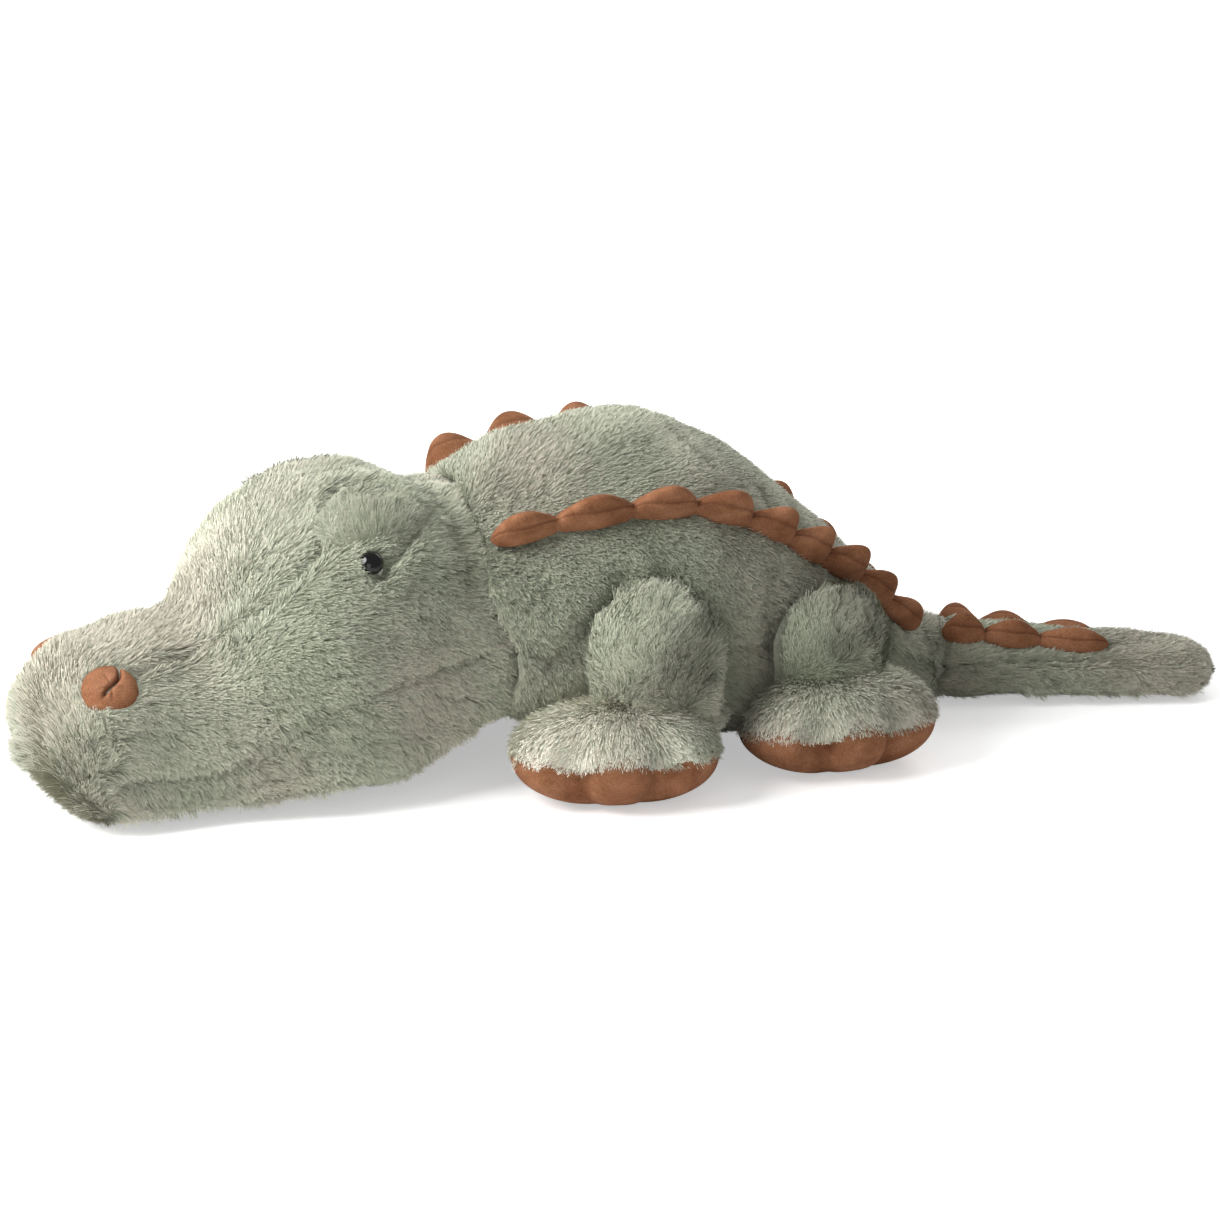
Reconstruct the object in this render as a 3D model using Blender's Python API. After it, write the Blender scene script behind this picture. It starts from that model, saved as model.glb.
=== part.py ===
"""Plush crocodile lying on its belly and chin.

+X runs from the neck to the tail, +Y to the toy's right side, +Z up, in metres.
The origin is the middle of the flat underside of the belly.
Head, body, tail and limbs are stuffed forms: sections that swell and taper along
a line, pinched at the panel seams and flat where they rest. The head turns and
the tail swings about upright axes, so the head's back and the body's rear end are
turned forms on those axes and the neighbour is hollowed to fit. Each leg lifts
about the seam along its top.
"""

import math

import bmesh
import bpy
import numpy as np

OBJECT_NAME = "plush_crocodile"

CLEARANCE = 0.0003
FLOOR_FLAT_DEPTH = 0.0005
WELD_DISTANCE = 0.00005
SEAM_SPREAD_SHARE = 0.16
NORMAL_STEP_SHARE = 0.004

# Body, from the middle of the belly
BODY_REACH_FRONT = 0.166
BODY_REACH_REAR = 0.190
BODY_HALF_WIDTH = 0.125
BODY_HEIGHT = 0.227
BODY_FRONT_ROUNDING = 0.040
# place from the front end to the tail axis, then half width, top, bottom and seam height
BODY_STATION_SHARES = (
    (0.00, 0.920, 0.820, 0.150, 0.400),
    (0.07, 0.935, 0.865, 0.135, 0.390),
    (0.18, 0.965, 0.922, 0.095, 0.375),
    (0.29, 0.990, 0.957, 0.030, 0.365),
    (0.40, 1.000, 0.975, 0.000, 0.355),
    (0.50, 0.990, 0.945, 0.000, 0.350),
    (0.60, 0.940, 0.855, 0.000, 0.340),
    (0.70, 0.850, 0.730, 0.000, 0.320),
    (0.80, 0.720, 0.600, 0.000, 0.280),
    (0.90, 0.510, 0.440, 0.000, 0.210),
    (1.00, 0.320, 0.275, 0.000, 0.130),
)
BODY_UPPER_POWER = 2.1
BODY_LOWER_POWER = 3.4
BODY_SEAM_DEPTH = 0.003

# Head, from the upright neck axis to the front of the snout
NECK_AXIS_FROM_BELLY = 0.170
# furthest turns from the pose shown, to the right and to the left
NECK_SWINGS = (math.radians(-30.0), math.radians(7.5))
SWUNG_CLEARANCE = 0.0001
HEAD_TURN = math.radians(12.0)
HEAD_LENGTH = 0.278
HEAD_HALF_WIDTH = 0.115
HEAD_HEIGHT_SHARE = 0.947
HEAD_HEIGHT = HEAD_HEIGHT_SHARE * BODY_HEIGHT
SNOUT_ROUNDING = 0.046
SNOUT_ROUNDING_POWER = 2.4
SNOUT_MIDDLE_SHARE = 0.24
HEAD_STATION_SHARES = (
    (0.00, 1.000, 0.905, 0.135, 0.400),
    (0.10, 1.010, 0.940, 0.060, 0.370),
    (0.22, 1.010, 0.945, 0.005, 0.320),
    (0.34, 0.985, 0.912, 0.000, 0.255),
    (0.43, 0.920, 0.858, 0.000, 0.200),
    (0.51, 0.835, 0.742, 0.000, 0.160),
    (0.57, 0.755, 0.625, 0.000, 0.140),
    (0.64, 0.715, 0.570, 0.000, 0.130),
    (0.75, 0.690, 0.550, 0.000, 0.135),
    (0.87, 0.690, 0.530, 0.000, 0.150),
    (1.00, 0.680, 0.480, 0.000, 0.155),
)
HEAD_UPPER_POWER = 2.15
HEAD_LOWER_POWER = 3.4
HEAD_SEAM_DEPTH = 0.004

# Tail, from the upright tail axis to its tip
TAIL_BEND = math.radians(-17.0)
TAIL_TWIST = math.radians(14.0)
TAIL_LENGTH = 0.215
TAIL_HALF_WIDTH = 0.041
TAIL_HEIGHT = 0.061
TAIL_TIP_ROUNDING = 0.032
TAIL_TIP_MIDDLE_SHARE = 0.30
TAIL_STATION_SHARES = (
    (0.00, 0.880, 0.960, 0.000, 0.440),
    (0.15, 0.880, 0.915, 0.000, 0.420),
    (0.35, 0.830, 0.845, 0.000, 0.370),
    (0.55, 0.780, 0.780, 0.000, 0.330),
    (0.75, 0.730, 0.735, 0.000, 0.310),
    (1.00, 0.640, 0.650, 0.000, 0.290),
)
TAIL_UPPER_POWER = 2.0
TAIL_LOWER_POWER = 3.4
TAIL_SEAM_DEPTH = 0.0015

# Legs: place of each limb's upright middle line, then how it leans out to its ankle
FRONT_LEG_X = -0.038
FRONT_LEG_Y_SHARE = 0.856
FRONT_LEG_Y = FRONT_LEG_Y_SHARE * BODY_HALF_WIDTH
FRONT_LEG_TOP_SHARE = 0.608
FRONT_LEG_TOP = FRONT_LEG_TOP_SHARE * BODY_HEIGHT
FRONT_LEG_RADIUS = 0.046
REAR_LEG_X = 0.087
REAR_LEG_Y_SHARE = 0.688
REAR_LEG_Y = REAR_LEG_Y_SHARE * BODY_HALF_WIDTH
REAR_LEG_TOP_SHARE = 0.520
REAR_LEG_TOP = REAR_LEG_TOP_SHARE * BODY_HEIGHT
REAR_LEG_RADIUS = 0.044
LEG_SEAT_HEIGHT = 0.004
LEG_LEAN_OUT = 0.006
# place from the top to the lower end, radius and lean
LEG_STATION_SHARES = (
    (0.00, 0.00, 0.00),
    (0.04, 0.38, 0.00),
    (0.14, 0.72, 0.02),
    (0.30, 0.94, 0.10),
    (0.48, 1.00, 0.30),
    (0.66, 0.98, 0.60),
    (0.82, 0.86, 0.85),
    (0.94, 0.56, 1.00),
    (1.00, 0.00, 1.00),
)
LEG_HINGE_RISE = 0.002
LEG_HINGE_INSET = 0.001

# Feet: a puffed pillow whose lower half is the suede sole
FRONT_FOOT_X = -0.070
FRONT_FOOT_Y_SHARE = 1.104
FRONT_FOOT_Y = FRONT_FOOT_Y_SHARE * BODY_HALF_WIDTH
FRONT_FOOT_TURN = math.radians(-12.0)
REAR_FOOT_X = 0.089
REAR_FOOT_Y_SHARE = 0.976
REAR_FOOT_Y = REAR_FOOT_Y_SHARE * BODY_HALF_WIDTH
REAR_FOOT_TURN = math.radians(4.0)
FOOT_HALF_LENGTH = 0.068
FOOT_REACH_OUT = 0.046
FOOT_REACH_IN = 0.034
FOOT_HEIGHT = 0.069
FOOT_SEAM_HEIGHT = 0.032
FOOT_OUTLINE_POWER = 2.4
FOOT_PUFF_POWER = 2.2
TOE_NOTCH_SHARE = 0.13
TOE_NOTCH_SPREAD = math.radians(11.0)
TOE_NOTCH_ANGLES = (math.radians(-24.0), math.radians(24.0))

# Suede ridge strips, one each side of the back and one each side of the tail
RIDGE_HEIGHT = 0.030
RIDGE_HALF_THICKNESS = 0.0085
RIDGE_SUNK_DEPTH = 0.006
RIDGE_VALLEY_SHARE = 0.40
RIDGE_VALLEY_THICKNESS_SHARE = 0.72
RIDGE_END_SHARE = 0.30
RIDGE_SWELL_POWER = 0.8
RIDGE_DRAW_SHARE = 0.25
RIDGE_FRONT_ANGLE = math.radians(44.5)
RIDGE_REAR_ANGLE = math.radians(43.5)
# spike borders along the body from its front end to the tail axis
BODY_SPIKE_BORDER_SHARES = (0.078, 0.202, 0.343, 0.463, 0.568, 0.655, 0.732, 0.812, 0.892, 0.975)
BODY_SPIKE_HEIGHT_SHARES = (0.80, 0.98, 1.00, 0.96, 0.91, 0.87, 0.84, 0.66, 0.50)
TAIL_SPIKE_BORDER_SHARES = (0.090, 0.230, 0.410, 0.640)
TAIL_SPIKE_HEIGHT_SHARES = (0.64, 0.54, 0.42)

# Face. Places are shares of the head's length, and angles round its section from the seam
EYE_PLACE_SHARE = 0.248
EYE_ANGLE = math.radians(44.0)
EYE_SUNK_DEPTH = 0.002
EYE_RADIUS = 0.0078
EYE_DOME_SHARE = 0.72
EYE_FLANGE = 0.0012
EYE_SHANK_RADIUS = 0.0022
EYE_SHANK_LENGTH = 0.012
WASHER_RADIUS = 0.009
WASHER_THICKNESS = 0.0022
WASHER_DEPTH = 0.006
EYELID_PLACE_SHARE = 0.200
EYELID_ANGLE = math.radians(57.0)
EYELID_HALF_LENGTH = 0.036
EYELID_HALF_WIDTH = 0.021
EYELID_HEIGHT = 0.0065
NOSTRIL_PLACE_SHARE = 0.847
NOSTRIL_ANGLE = math.radians(51.0)
NOSTRIL_SUNK_DEPTH = 0.007
NOSTRIL_RADIUS = 0.0185
NOSTRIL_HEIGHT = 0.008
NOSTRIL_CREASE_SHARE = 0.45
NOSTRIL_CREASE_WIDTH_SHARE = 0.22

BODY_SIDES = 26
HEAD_SIDES = 28
TAIL_SIDES = 18
LEG_SIDES = 16
LEG_RINGS = 10
FOOT_SIDES = 24
RIDGE_SIDES = 8
NECK_TURN_STEPS = 12
TAIL_TURN_STEPS = 8
DOME_SIDES = 14
DOME_RINGS = 7
RINGS_PER_SPIKE = 5
TURNED_STEPS = 12

FUR_COLOUR = (0.385, 0.415, 0.325, 1.0)
PAW_FUR_COLOUR = (0.520, 0.545, 0.455, 1.0)
SUEDE_COLOUR = (0.392, 0.126, 0.053, 1.0)
EYE_COLOUR = (0.006, 0.006, 0.007, 1.0)
WASHER_COLOUR = (0.780, 0.780, 0.760, 1.0)


def clear_scene():
    """Remove whatever the scene holds."""
    for item in list(bpy.data.objects):
        bpy.data.objects.remove(item, do_unlink=True)


def new_collection(name, hidden=False):
    """Add a collection to the scene."""
    collection = bpy.data.collections.new(name)
    collection.hide_render = hidden
    bpy.context.scene.collection.children.link(collection)
    return collection


def make_material(name, colour, roughness):
    """Add a Principled material."""
    material = bpy.data.materials.new(name)
    material.use_nodes = True
    shader = material.node_tree.nodes["Principled BSDF"]
    shader.inputs["Base Color"].default_value = colour
    shader.inputs["Roughness"].default_value = roughness
    shader.inputs["Metallic"].default_value = 0.0
    material.diffuse_color = colour
    return material


def smooth_curve(places, values, wanted):
    """Smooth curve through the values at their places, read at the wanted places."""
    places = np.asarray(places, dtype=float)
    values = np.asarray(values, dtype=float)
    slopes = np.gradient(values, places)
    first = np.clip(np.searchsorted(places, wanted, side="right") - 1, 0, len(places) - 2)
    span = places[first + 1] - places[first]
    part = np.clip((wanted - places[first]) / span, 0.0, 1.0)
    start, end = values[first], values[first + 1]
    rise_start, rise_end = slopes[first] * span, slopes[first + 1] * span
    bend = 2.0 * (start - end) + rise_start + rise_end
    sweep = 3.0 * (end - start) - 2.0 * rise_start - rise_end
    return ((bend * part + sweep) * part + rise_start) * part + start


def signed_power(values, power):
    """Raise the size of the values to the power and keep their signs."""
    return np.sign(values) * np.abs(values) ** power


class StuffedForm:
    """A stuffed form along X: its sections at any place along its length."""

    def __init__(self, start, length, half_width, height, stations, powers, seam_depth):
        self.start = start
        self.length = length
        self.half_width = half_width
        self.height = height
        self.stations = np.array(stations)
        self.upper_power, self.lower_power = powers
        self.seam_depth = seam_depth

    def sizes(self, place):
        """Half width, top, bottom and seam height at a place along the length."""
        place = np.asarray(place, dtype=float)
        columns = [smooth_curve(self.stations[:, 0], self.stations[:, column], place)
                   for column in range(1, self.stations.shape[1])]
        width, top, bottom, seam = columns
        flat = np.where(bottom <= 0.0, FLOOR_FLAT_DEPTH, 0.0)
        lowest = np.maximum(bottom, 0.0) * self.height - flat
        return width * self.half_width, top * self.height, lowest, seam * self.height

    def points(self, place, angle):
        """Points at places along the form and at angles round it from the left seam up."""
        half_width, top, lowest, seam = self.sizes(place)
        across, up = np.cos(angle), np.sin(angle)
        power = np.where(up >= 0.0, self.upper_power, self.lower_power)
        reach = np.where(up >= 0.0, top - seam, seam - lowest)
        pinch = self.seam_depth * np.exp(-((up / SEAM_SPREAD_SHARE) ** 2))
        side = -signed_power(across, 2.0 / power) * half_width + np.sign(across) * pinch
        height = seam + signed_power(up, 2.0 / power) * reach
        along = np.broadcast_to(self.start + self.length * np.asarray(place), side.shape)
        return np.stack([along, side, height], axis=-1)

    def flank(self, along, height):
        """Reach of the form's side at a place along X and a height above the seam."""
        half_width, top, _, seam = self.sizes((along - self.start) / self.length)
        rise = (height - seam) / (top - seam)
        return float(half_width * (1.0 - rise ** self.upper_power) ** (1.0 / self.upper_power))

    def rings(self, places, sides):
        """Rings of points at the places."""
        angle = np.linspace(0.0, 2.0 * math.pi, sides, endpoint=False)
        return self.points(np.asarray(places)[:, None], angle[None, :])

    def seats(self, places, angle):
        """Points on the form at one angle, with outward normals and directions along it."""
        step = NORMAL_STEP_SHARE
        point = self.points(places, angle)
        along = self.points(places + step, angle) - self.points(places - step, angle)
        around = self.points(places, angle + step) - self.points(places, angle - step)
        normal = np.cross(around, along)
        outward = np.sign(normal[..., 1:2] * point[..., 1:2])
        normal = normal * outward / np.linalg.norm(normal, axis=-1)[..., None]
        return point, normal, along / np.linalg.norm(along, axis=-1)[..., None]

    def seat(self, place, angle, depth):
        """Frame at one place, sunk by the depth: along, across, outward and the point."""
        points, normals, directions = self.seats(np.array([place]), angle)
        point, normal, along = points[0], normals[0], directions[0]
        across = np.cross(normal, along)
        return along, across, normal, point - normal * depth


def body_form():
    """The body, from its front end to the tail axis."""
    return StuffedForm(-BODY_REACH_FRONT, BODY_REACH_FRONT + BODY_REACH_REAR, BODY_HALF_WIDTH,
                       BODY_HEIGHT, BODY_STATION_SHARES, (BODY_UPPER_POWER, BODY_LOWER_POWER),
                       BODY_SEAM_DEPTH)


def head_form():
    """The head, from the neck axis forward to the snout's front."""
    return StuffedForm(0.0, -HEAD_LENGTH, HEAD_HALF_WIDTH, HEAD_HEIGHT, HEAD_STATION_SHARES,
                       (HEAD_UPPER_POWER, HEAD_LOWER_POWER), HEAD_SEAM_DEPTH)


def tail_form():
    """The tail, from its axis to its tip."""
    return StuffedForm(0.0, TAIL_LENGTH, TAIL_HALF_WIDTH, TAIL_HEIGHT, TAIL_STATION_SHARES,
                       (TAIL_UPPER_POWER, TAIL_LOWER_POWER), TAIL_SEAM_DEPTH)


def end_places(rounding_share, count):
    """Places in the rounded end of a form, closer together toward its tip, as shares."""
    turn = np.linspace(0.0, math.pi / 2.0, count + 1)[1:]
    return 1.0 - rounding_share + rounding_share * np.sin(turn)


def close_end(rings, places, rounding_share, power, middle):
    """Draw the rings together over the rounded end, about the middle height."""
    part = np.clip((places - (1.0 - rounding_share)) / rounding_share, 0.0, 1.0)
    factor = (1.0 - part ** power) ** (1.0 / power)
    drawn = rings.copy()
    drawn[..., 1] *= factor[:, None]
    drawn[..., 2] = middle + (rings[..., 2] - middle) * factor[:, None]
    return drawn


def turned_end(ring, count):
    """Rings that swing a section's points round the upright axis, to the middle plane."""
    turn = np.linspace(0.0, math.pi / 2.0, count + 1)[1:, None]
    reach = ring[None, :, 1]
    along = ring[None, :, 0] + np.abs(reach) * np.sin(turn)
    height = np.broadcast_to(ring[None, :, 2], along.shape)
    return np.stack([along, reach * np.cos(turn), height], axis=-1)


def body_rings():
    """Rings of the body, with its turned rear end on the tail axis."""
    form = body_form()
    share = BODY_FRONT_ROUNDING / form.length
    middle = BODY_HEIGHT * form.stations[0, 4]
    front_places = 1.0 - end_places(share, 4)[::-1]
    rear_places = np.linspace(share, 1.0, 17)
    places = np.concatenate([front_places, rear_places])
    rings = form.rings(places, BODY_SIDES)
    rings = close_end(rings, 1.0 - places, share, 2.0, middle)
    return np.concatenate([rings, turned_end(rings[-1], TAIL_TURN_STEPS)])


def head_rings():
    """Rings of the head, from its turned back on the neck axis to the snout."""
    form = head_form()
    share = SNOUT_ROUNDING / HEAD_LENGTH
    middle = HEAD_HEIGHT * SNOUT_MIDDLE_SHARE
    places = np.concatenate([np.linspace(0.0, 1.0 - share, 15), end_places(share, 5)])
    rings = form.rings(places, HEAD_SIDES)
    rings = close_end(rings, places, share, SNOUT_ROUNDING_POWER, middle)
    return np.concatenate([turned_end(rings[0], NECK_TURN_STEPS)[::-1], rings])


def tail_rings():
    """Rings of the tail, from a rounded start on its axis to the tip."""
    form = tail_form()
    share = TAIL_TIP_ROUNDING / TAIL_LENGTH
    middle = TAIL_HEIGHT * TAIL_TIP_MIDDLE_SHARE
    places = np.concatenate([np.linspace(0.0, 1.0 - share, 10), end_places(share, 4)])
    rings = form.rings(places, TAIL_SIDES)
    return close_end(rings, places, share, 2.0, middle)


def leg_rings(top, radius, side):
    """Rings of a limb, from its rounded top down to its rounded lower end."""
    table = np.array(LEG_STATION_SHARES)
    place = 0.5 - 0.5 * np.cos(np.linspace(0.0, math.pi, LEG_RINGS))
    reach = smooth_curve(table[:, 0], table[:, 1], place) * radius
    reach[0], reach[-1] = 0.0, 0.0
    lean = smooth_curve(table[:, 0], table[:, 2], place) * LEG_LEAN_OUT
    height = top - (top - FOOT_SEAM_HEIGHT - LEG_SEAT_HEIGHT) * place
    angle = np.linspace(0.0, 2.0 * math.pi, LEG_SIDES, endpoint=False)
    along = reach[:, None] * np.cos(angle)
    across = reach[:, None] * np.sin(angle) + side * lean[:, None]
    upright = np.broadcast_to(height[:, None], along.shape)
    return np.stack([along, across, upright], axis=-1)


def foot_outline():
    """Outline of a foot seen from above, its three toes toward -Y."""
    angle = np.linspace(0.0, 2.0 * math.pi, FOOT_SIDES, endpoint=False)
    across, out = np.cos(angle), -np.sin(angle)
    reach = np.where(out < 0.0, FOOT_REACH_OUT, FOOT_REACH_IN)
    along = FOOT_HALF_LENGTH * signed_power(across, 2.0 / FOOT_OUTLINE_POWER)
    outward = reach * signed_power(out, 2.0 / FOOT_OUTLINE_POWER)
    from_toe = np.arctan2(across, -out)
    notch = sum(np.exp(-(((from_toe - place) / TOE_NOTCH_SPREAD) ** 2))
                for place in TOE_NOTCH_ANGLES)
    return np.stack([along, outward], axis=-1), notch


def foot_half_rings(height, lift, side, count):
    """Rings of one half of the foot's pillow, from its seam to its crown."""
    outline, notch = foot_outline()
    turn = np.linspace(0.0, math.pi / 2.0, count + 1)
    spread = np.cos(turn) ** (2.0 / FOOT_PUFF_POWER)
    rise = np.sin(turn) ** (2.0 / FOOT_PUFF_POWER)
    spread[-1] = 0.0
    draw = 1.0 - TOE_NOTCH_SHARE * notch[None, :] * np.cos(turn)[:, None]
    scale = spread[:, None] * draw
    along = outline[None, :, 0] * scale
    across = -side * outline[None, :, 1] * scale
    upright = np.broadcast_to(lift + height * rise[:, None], along.shape)
    return np.stack([along, across, upright], axis=-1)


def mesh_object(name, rings, material, collection):
    """Close rings of points into one skin, faces out, and add it as an object."""
    mesh = bpy.data.meshes.new(name)
    skin = bmesh.new()
    rows = [[skin.verts.new(point) for point in ring] for ring in rings]
    count = len(rows[0])
    for row, following in zip(rows, rows[1:]):
        for index in range(count):
            after = (index + 1) % count
            skin.faces.new((row[index], row[after], following[after], following[index]))
    skin.faces.new(rows[0])
    skin.faces.new(rows[-1])
    bmesh.ops.remove_doubles(skin, verts=skin.verts, dist=WELD_DISTANCE)
    bmesh.ops.dissolve_degenerate(skin, edges=skin.edges, dist=WELD_DISTANCE)
    bmesh.ops.recalc_face_normals(skin, faces=skin.faces)
    bmesh.ops.triangulate(skin, faces=skin.faces)
    skin.to_mesh(mesh)
    skin.free()
    mesh.shade_smooth()
    item = bpy.data.objects.new(name, mesh)
    if material:
        mesh.materials.append(material)
    collection.objects.link(item)
    return item


def hide_cutter(item):
    """Show a cutter as wire only."""
    item.display_type = "WIRE"
    item.hide_render = True
    return item


def grown_cutter(item, clearance, collection):
    """Cutter that is the item's own mesh, moved out along its normals by the clearance."""
    mesh = item.data.copy()
    mesh.name = item.name + "_clearance"
    skin = bmesh.new()
    skin.from_mesh(mesh)
    skin.normal_update()
    moved = [vertex.co + vertex.normal * clearance for vertex in skin.verts]
    for vertex, place in zip(skin.verts, moved):
        vertex.co = place
    skin.to_mesh(mesh)
    skin.free()
    cutter = bpy.data.objects.new(mesh.name, mesh)
    cutter.parent = item.parent
    cutter.location = item.location
    cutter.rotation_euler = item.rotation_euler
    collection.objects.link(cutter)
    return hide_cutter(cutter)


def swung_cutters(item, angles, collection):
    """Cutters for the item's furthest turns about its parent axis."""
    cutters = []
    for angle in angles:
        cutter = grown_cutter(item, SWUNG_CLEARANCE, collection)
        cutter.rotation_euler = (0.0, 0.0, angle)
        cutters.append(cutter)
    return cutters


def cut(item, cutter):
    """Take the cutter's form out of the item."""
    modifier = item.modifiers.new("cut_" + cutter.name, "BOOLEAN")
    modifier.operation = "DIFFERENCE"
    modifier.solver = "EXACT"
    modifier.object = cutter


def floor_cutter(collection):
    """Block under the toy, whose top is the surface that the toy lies on."""
    bpy.ops.mesh.primitive_cube_add(size=1.0)
    block = bpy.context.object
    block.name = "floor_cut"
    span = 2.0 * (BODY_REACH_FRONT + BODY_REACH_REAR + HEAD_LENGTH + TAIL_LENGTH)
    for vertex in block.data.vertices:
        vertex.co.x *= span
        vertex.co.y *= span
        vertex.co.z = (vertex.co.z - 0.5) * BODY_HEIGHT
    move_to(block, collection)
    return hide_cutter(block)


def move_to(item, collection):
    """Move an object into the collection."""
    for owner in list(item.users_collection):
        owner.objects.unlink(item)
    collection.objects.link(item)


def add_axis(name, location, turn, collection):
    """Empty on a joint's axis."""
    empty = bpy.data.objects.new(name, None)
    empty.location = location
    empty.rotation_euler = (0.0, 0.0, turn)
    empty.empty_display_size = HEAD_HALF_WIDTH
    collection.objects.link(empty)
    return empty


def placed(points, frame):
    """Points given along, across and outward of a seat, in the form's own frame."""
    straight, across, normal, point = frame
    return (points[..., 0:1] * straight + points[..., 1:2] * across
            + points[..., 2:3] * normal + point)


def dome_rings(half_length, half_width, height, sunk):
    """Rings of a low dome with a rounded underside, over a seat."""
    turn = np.linspace(-math.pi / 2.0, math.pi / 2.0, DOME_RINGS)
    angle = np.linspace(0.0, 2.0 * math.pi, DOME_SIDES, endpoint=False)
    spread = np.cos(turn)
    spread[0], spread[-1] = 0.0, 0.0
    rise = np.where(turn > 0.0, height, sunk) * np.sin(turn)
    along = half_length * spread[:, None] * np.cos(angle)
    across = half_width * spread[:, None] * np.sin(angle)
    upright = np.broadcast_to(rise[:, None], along.shape).copy()
    return np.stack([along, across, upright], axis=-1)


def nostril_rings():
    """Rings of a puffed disc with a crease pinched across it."""
    rings = dome_rings(NOSTRIL_RADIUS, NOSTRIL_RADIUS, NOSTRIL_HEIGHT, NOSTRIL_HEIGHT)
    across = rings[..., 1] / NOSTRIL_RADIUS
    crease = NOSTRIL_CREASE_SHARE * np.exp(-((across / NOSTRIL_CREASE_WIDTH_SHARE) ** 2))
    upper = rings[..., 2] > 0.0
    rings[..., 2] = np.where(upper, rings[..., 2] * (1.0 - crease), rings[..., 2])
    return rings


def turned_rings(profile, sides):
    """Rings of a turned piece from its profile of radius and height."""
    profile = np.array(profile)
    angle = np.linspace(0.0, 2.0 * math.pi, sides, endpoint=False)
    along = profile[:, 0:1] * np.cos(angle)
    across = profile[:, 0:1] * np.sin(angle)
    upright = np.broadcast_to(profile[:, 1:2], along.shape)
    return np.stack([along, across, upright], axis=-1)


def eye_profile(grow):
    """Profile of the eye from its dome's crown down to its shank's end."""
    turn = np.linspace(math.pi / 2.0, 0.0, 6)
    radius = EYE_RADIUS + grow
    dome = EYE_RADIUS * EYE_DOME_SHARE + grow
    crown = [(radius * math.cos(step), dome * math.sin(step)) for step in turn]
    crown[0] = (0.0, dome)
    shank = EYE_SHANK_RADIUS + grow
    under = -EYE_FLANGE - grow
    end = -EYE_SHANK_LENGTH - grow
    return crown + [(radius, under), (shank, under), (shank, end), (0.0, end)]


def eye_seat_profile(grow):
    """Profile of the hole for the eye, its shank and its washer."""
    shank = EYE_SHANK_RADIUS + grow
    washer = WASHER_RADIUS + grow
    near = -WASHER_DEPTH + grow
    far = -WASHER_DEPTH - WASHER_THICKNESS - grow
    upper = eye_profile(grow)[:-2]
    end = -EYE_SHANK_LENGTH - grow
    return upper + [(shank, near), (washer, near), (washer, far), (shank, far), (shank, end),
                    (0.0, end)]


def washer_object(name, frame, material, collection):
    """Ring on the eye's shank, behind the fabric."""
    inner = EYE_SHANK_RADIUS + CLEARANCE
    near, far = -WASHER_DEPTH, -WASHER_DEPTH - WASHER_THICKNESS
    profile = [(inner, near), (WASHER_RADIUS, near), (WASHER_RADIUS, far), (inner, far)]
    rings = placed(turned_rings(profile, TURNED_STEPS), frame)
    mesh = bpy.data.meshes.new(name)
    skin = bmesh.new()
    rows = [[skin.verts.new(point) for point in ring] for ring in rings]
    for row, following in zip(rows, rows[1:] + rows[:1]):
        for index in range(TURNED_STEPS):
            after = (index + 1) % TURNED_STEPS
            skin.faces.new((row[index], row[after], following[after], following[index]))
    bmesh.ops.recalc_face_normals(skin, faces=skin.faces)
    skin.to_mesh(mesh)
    skin.free()
    mesh.materials.append(material)
    item = bpy.data.objects.new(name, mesh)
    collection.objects.link(item)
    return item


def ridge_rings(form, angles, borders, heights):
    """Rings of a strip of puffed spikes along the form, from one angle round it to another."""
    steps = np.arange(len(heights) * RINGS_PER_SPIKE + 1) / RINGS_PER_SPIKE
    place = np.interp(steps, np.arange(len(borders)), np.array(borders))
    swell = np.abs(np.sin(steps * math.pi)) ** RIDGE_SWELL_POWER
    spike = np.minimum(steps.astype(int), len(heights) - 1)
    tall_share = RIDGE_VALLEY_SHARE + (1.0 - RIDGE_VALLEY_SHARE) * swell
    tall_share = tall_share * np.array(heights)[spike]
    thick_share = RIDGE_VALLEY_THICKNESS_SHARE + (1.0 - RIDGE_VALLEY_THICKNESS_SHARE) * swell
    tall_share[[0, -1]] = RIDGE_END_SHARE
    thick_share[[0, -1]] = RIDGE_END_SHARE
    angle = np.interp(place, (0.0, 1.0), angles)
    spine, outward, along = form.seats(place, angle)
    across = np.cross(along, outward)
    turn = np.linspace(0.0, 2.0 * math.pi, RIDGE_SIDES, endpoint=False)
    upper = np.clip(np.sin(turn), 0.0, 1.0)
    lower = np.clip(np.sin(turn), -1.0, 0.0)
    wide = np.cos(turn) * (1.0 - RIDGE_DRAW_SHARE * upper)
    sideways = RIDGE_HALF_THICKNESS * thick_share[:, None] * wide
    upward = RIDGE_HEIGHT * tall_share[:, None] * upper + RIDGE_SUNK_DEPTH * lower
    return (spine[:, None, :] + sideways[..., None] * across[:, None, :]
            + upward[..., None] * outward[:, None, :])


def section_angle(side, angle):
    """Angle round a form's section, from the left seam or its mirror image."""
    return angle if side < 0 else math.pi - angle


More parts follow.
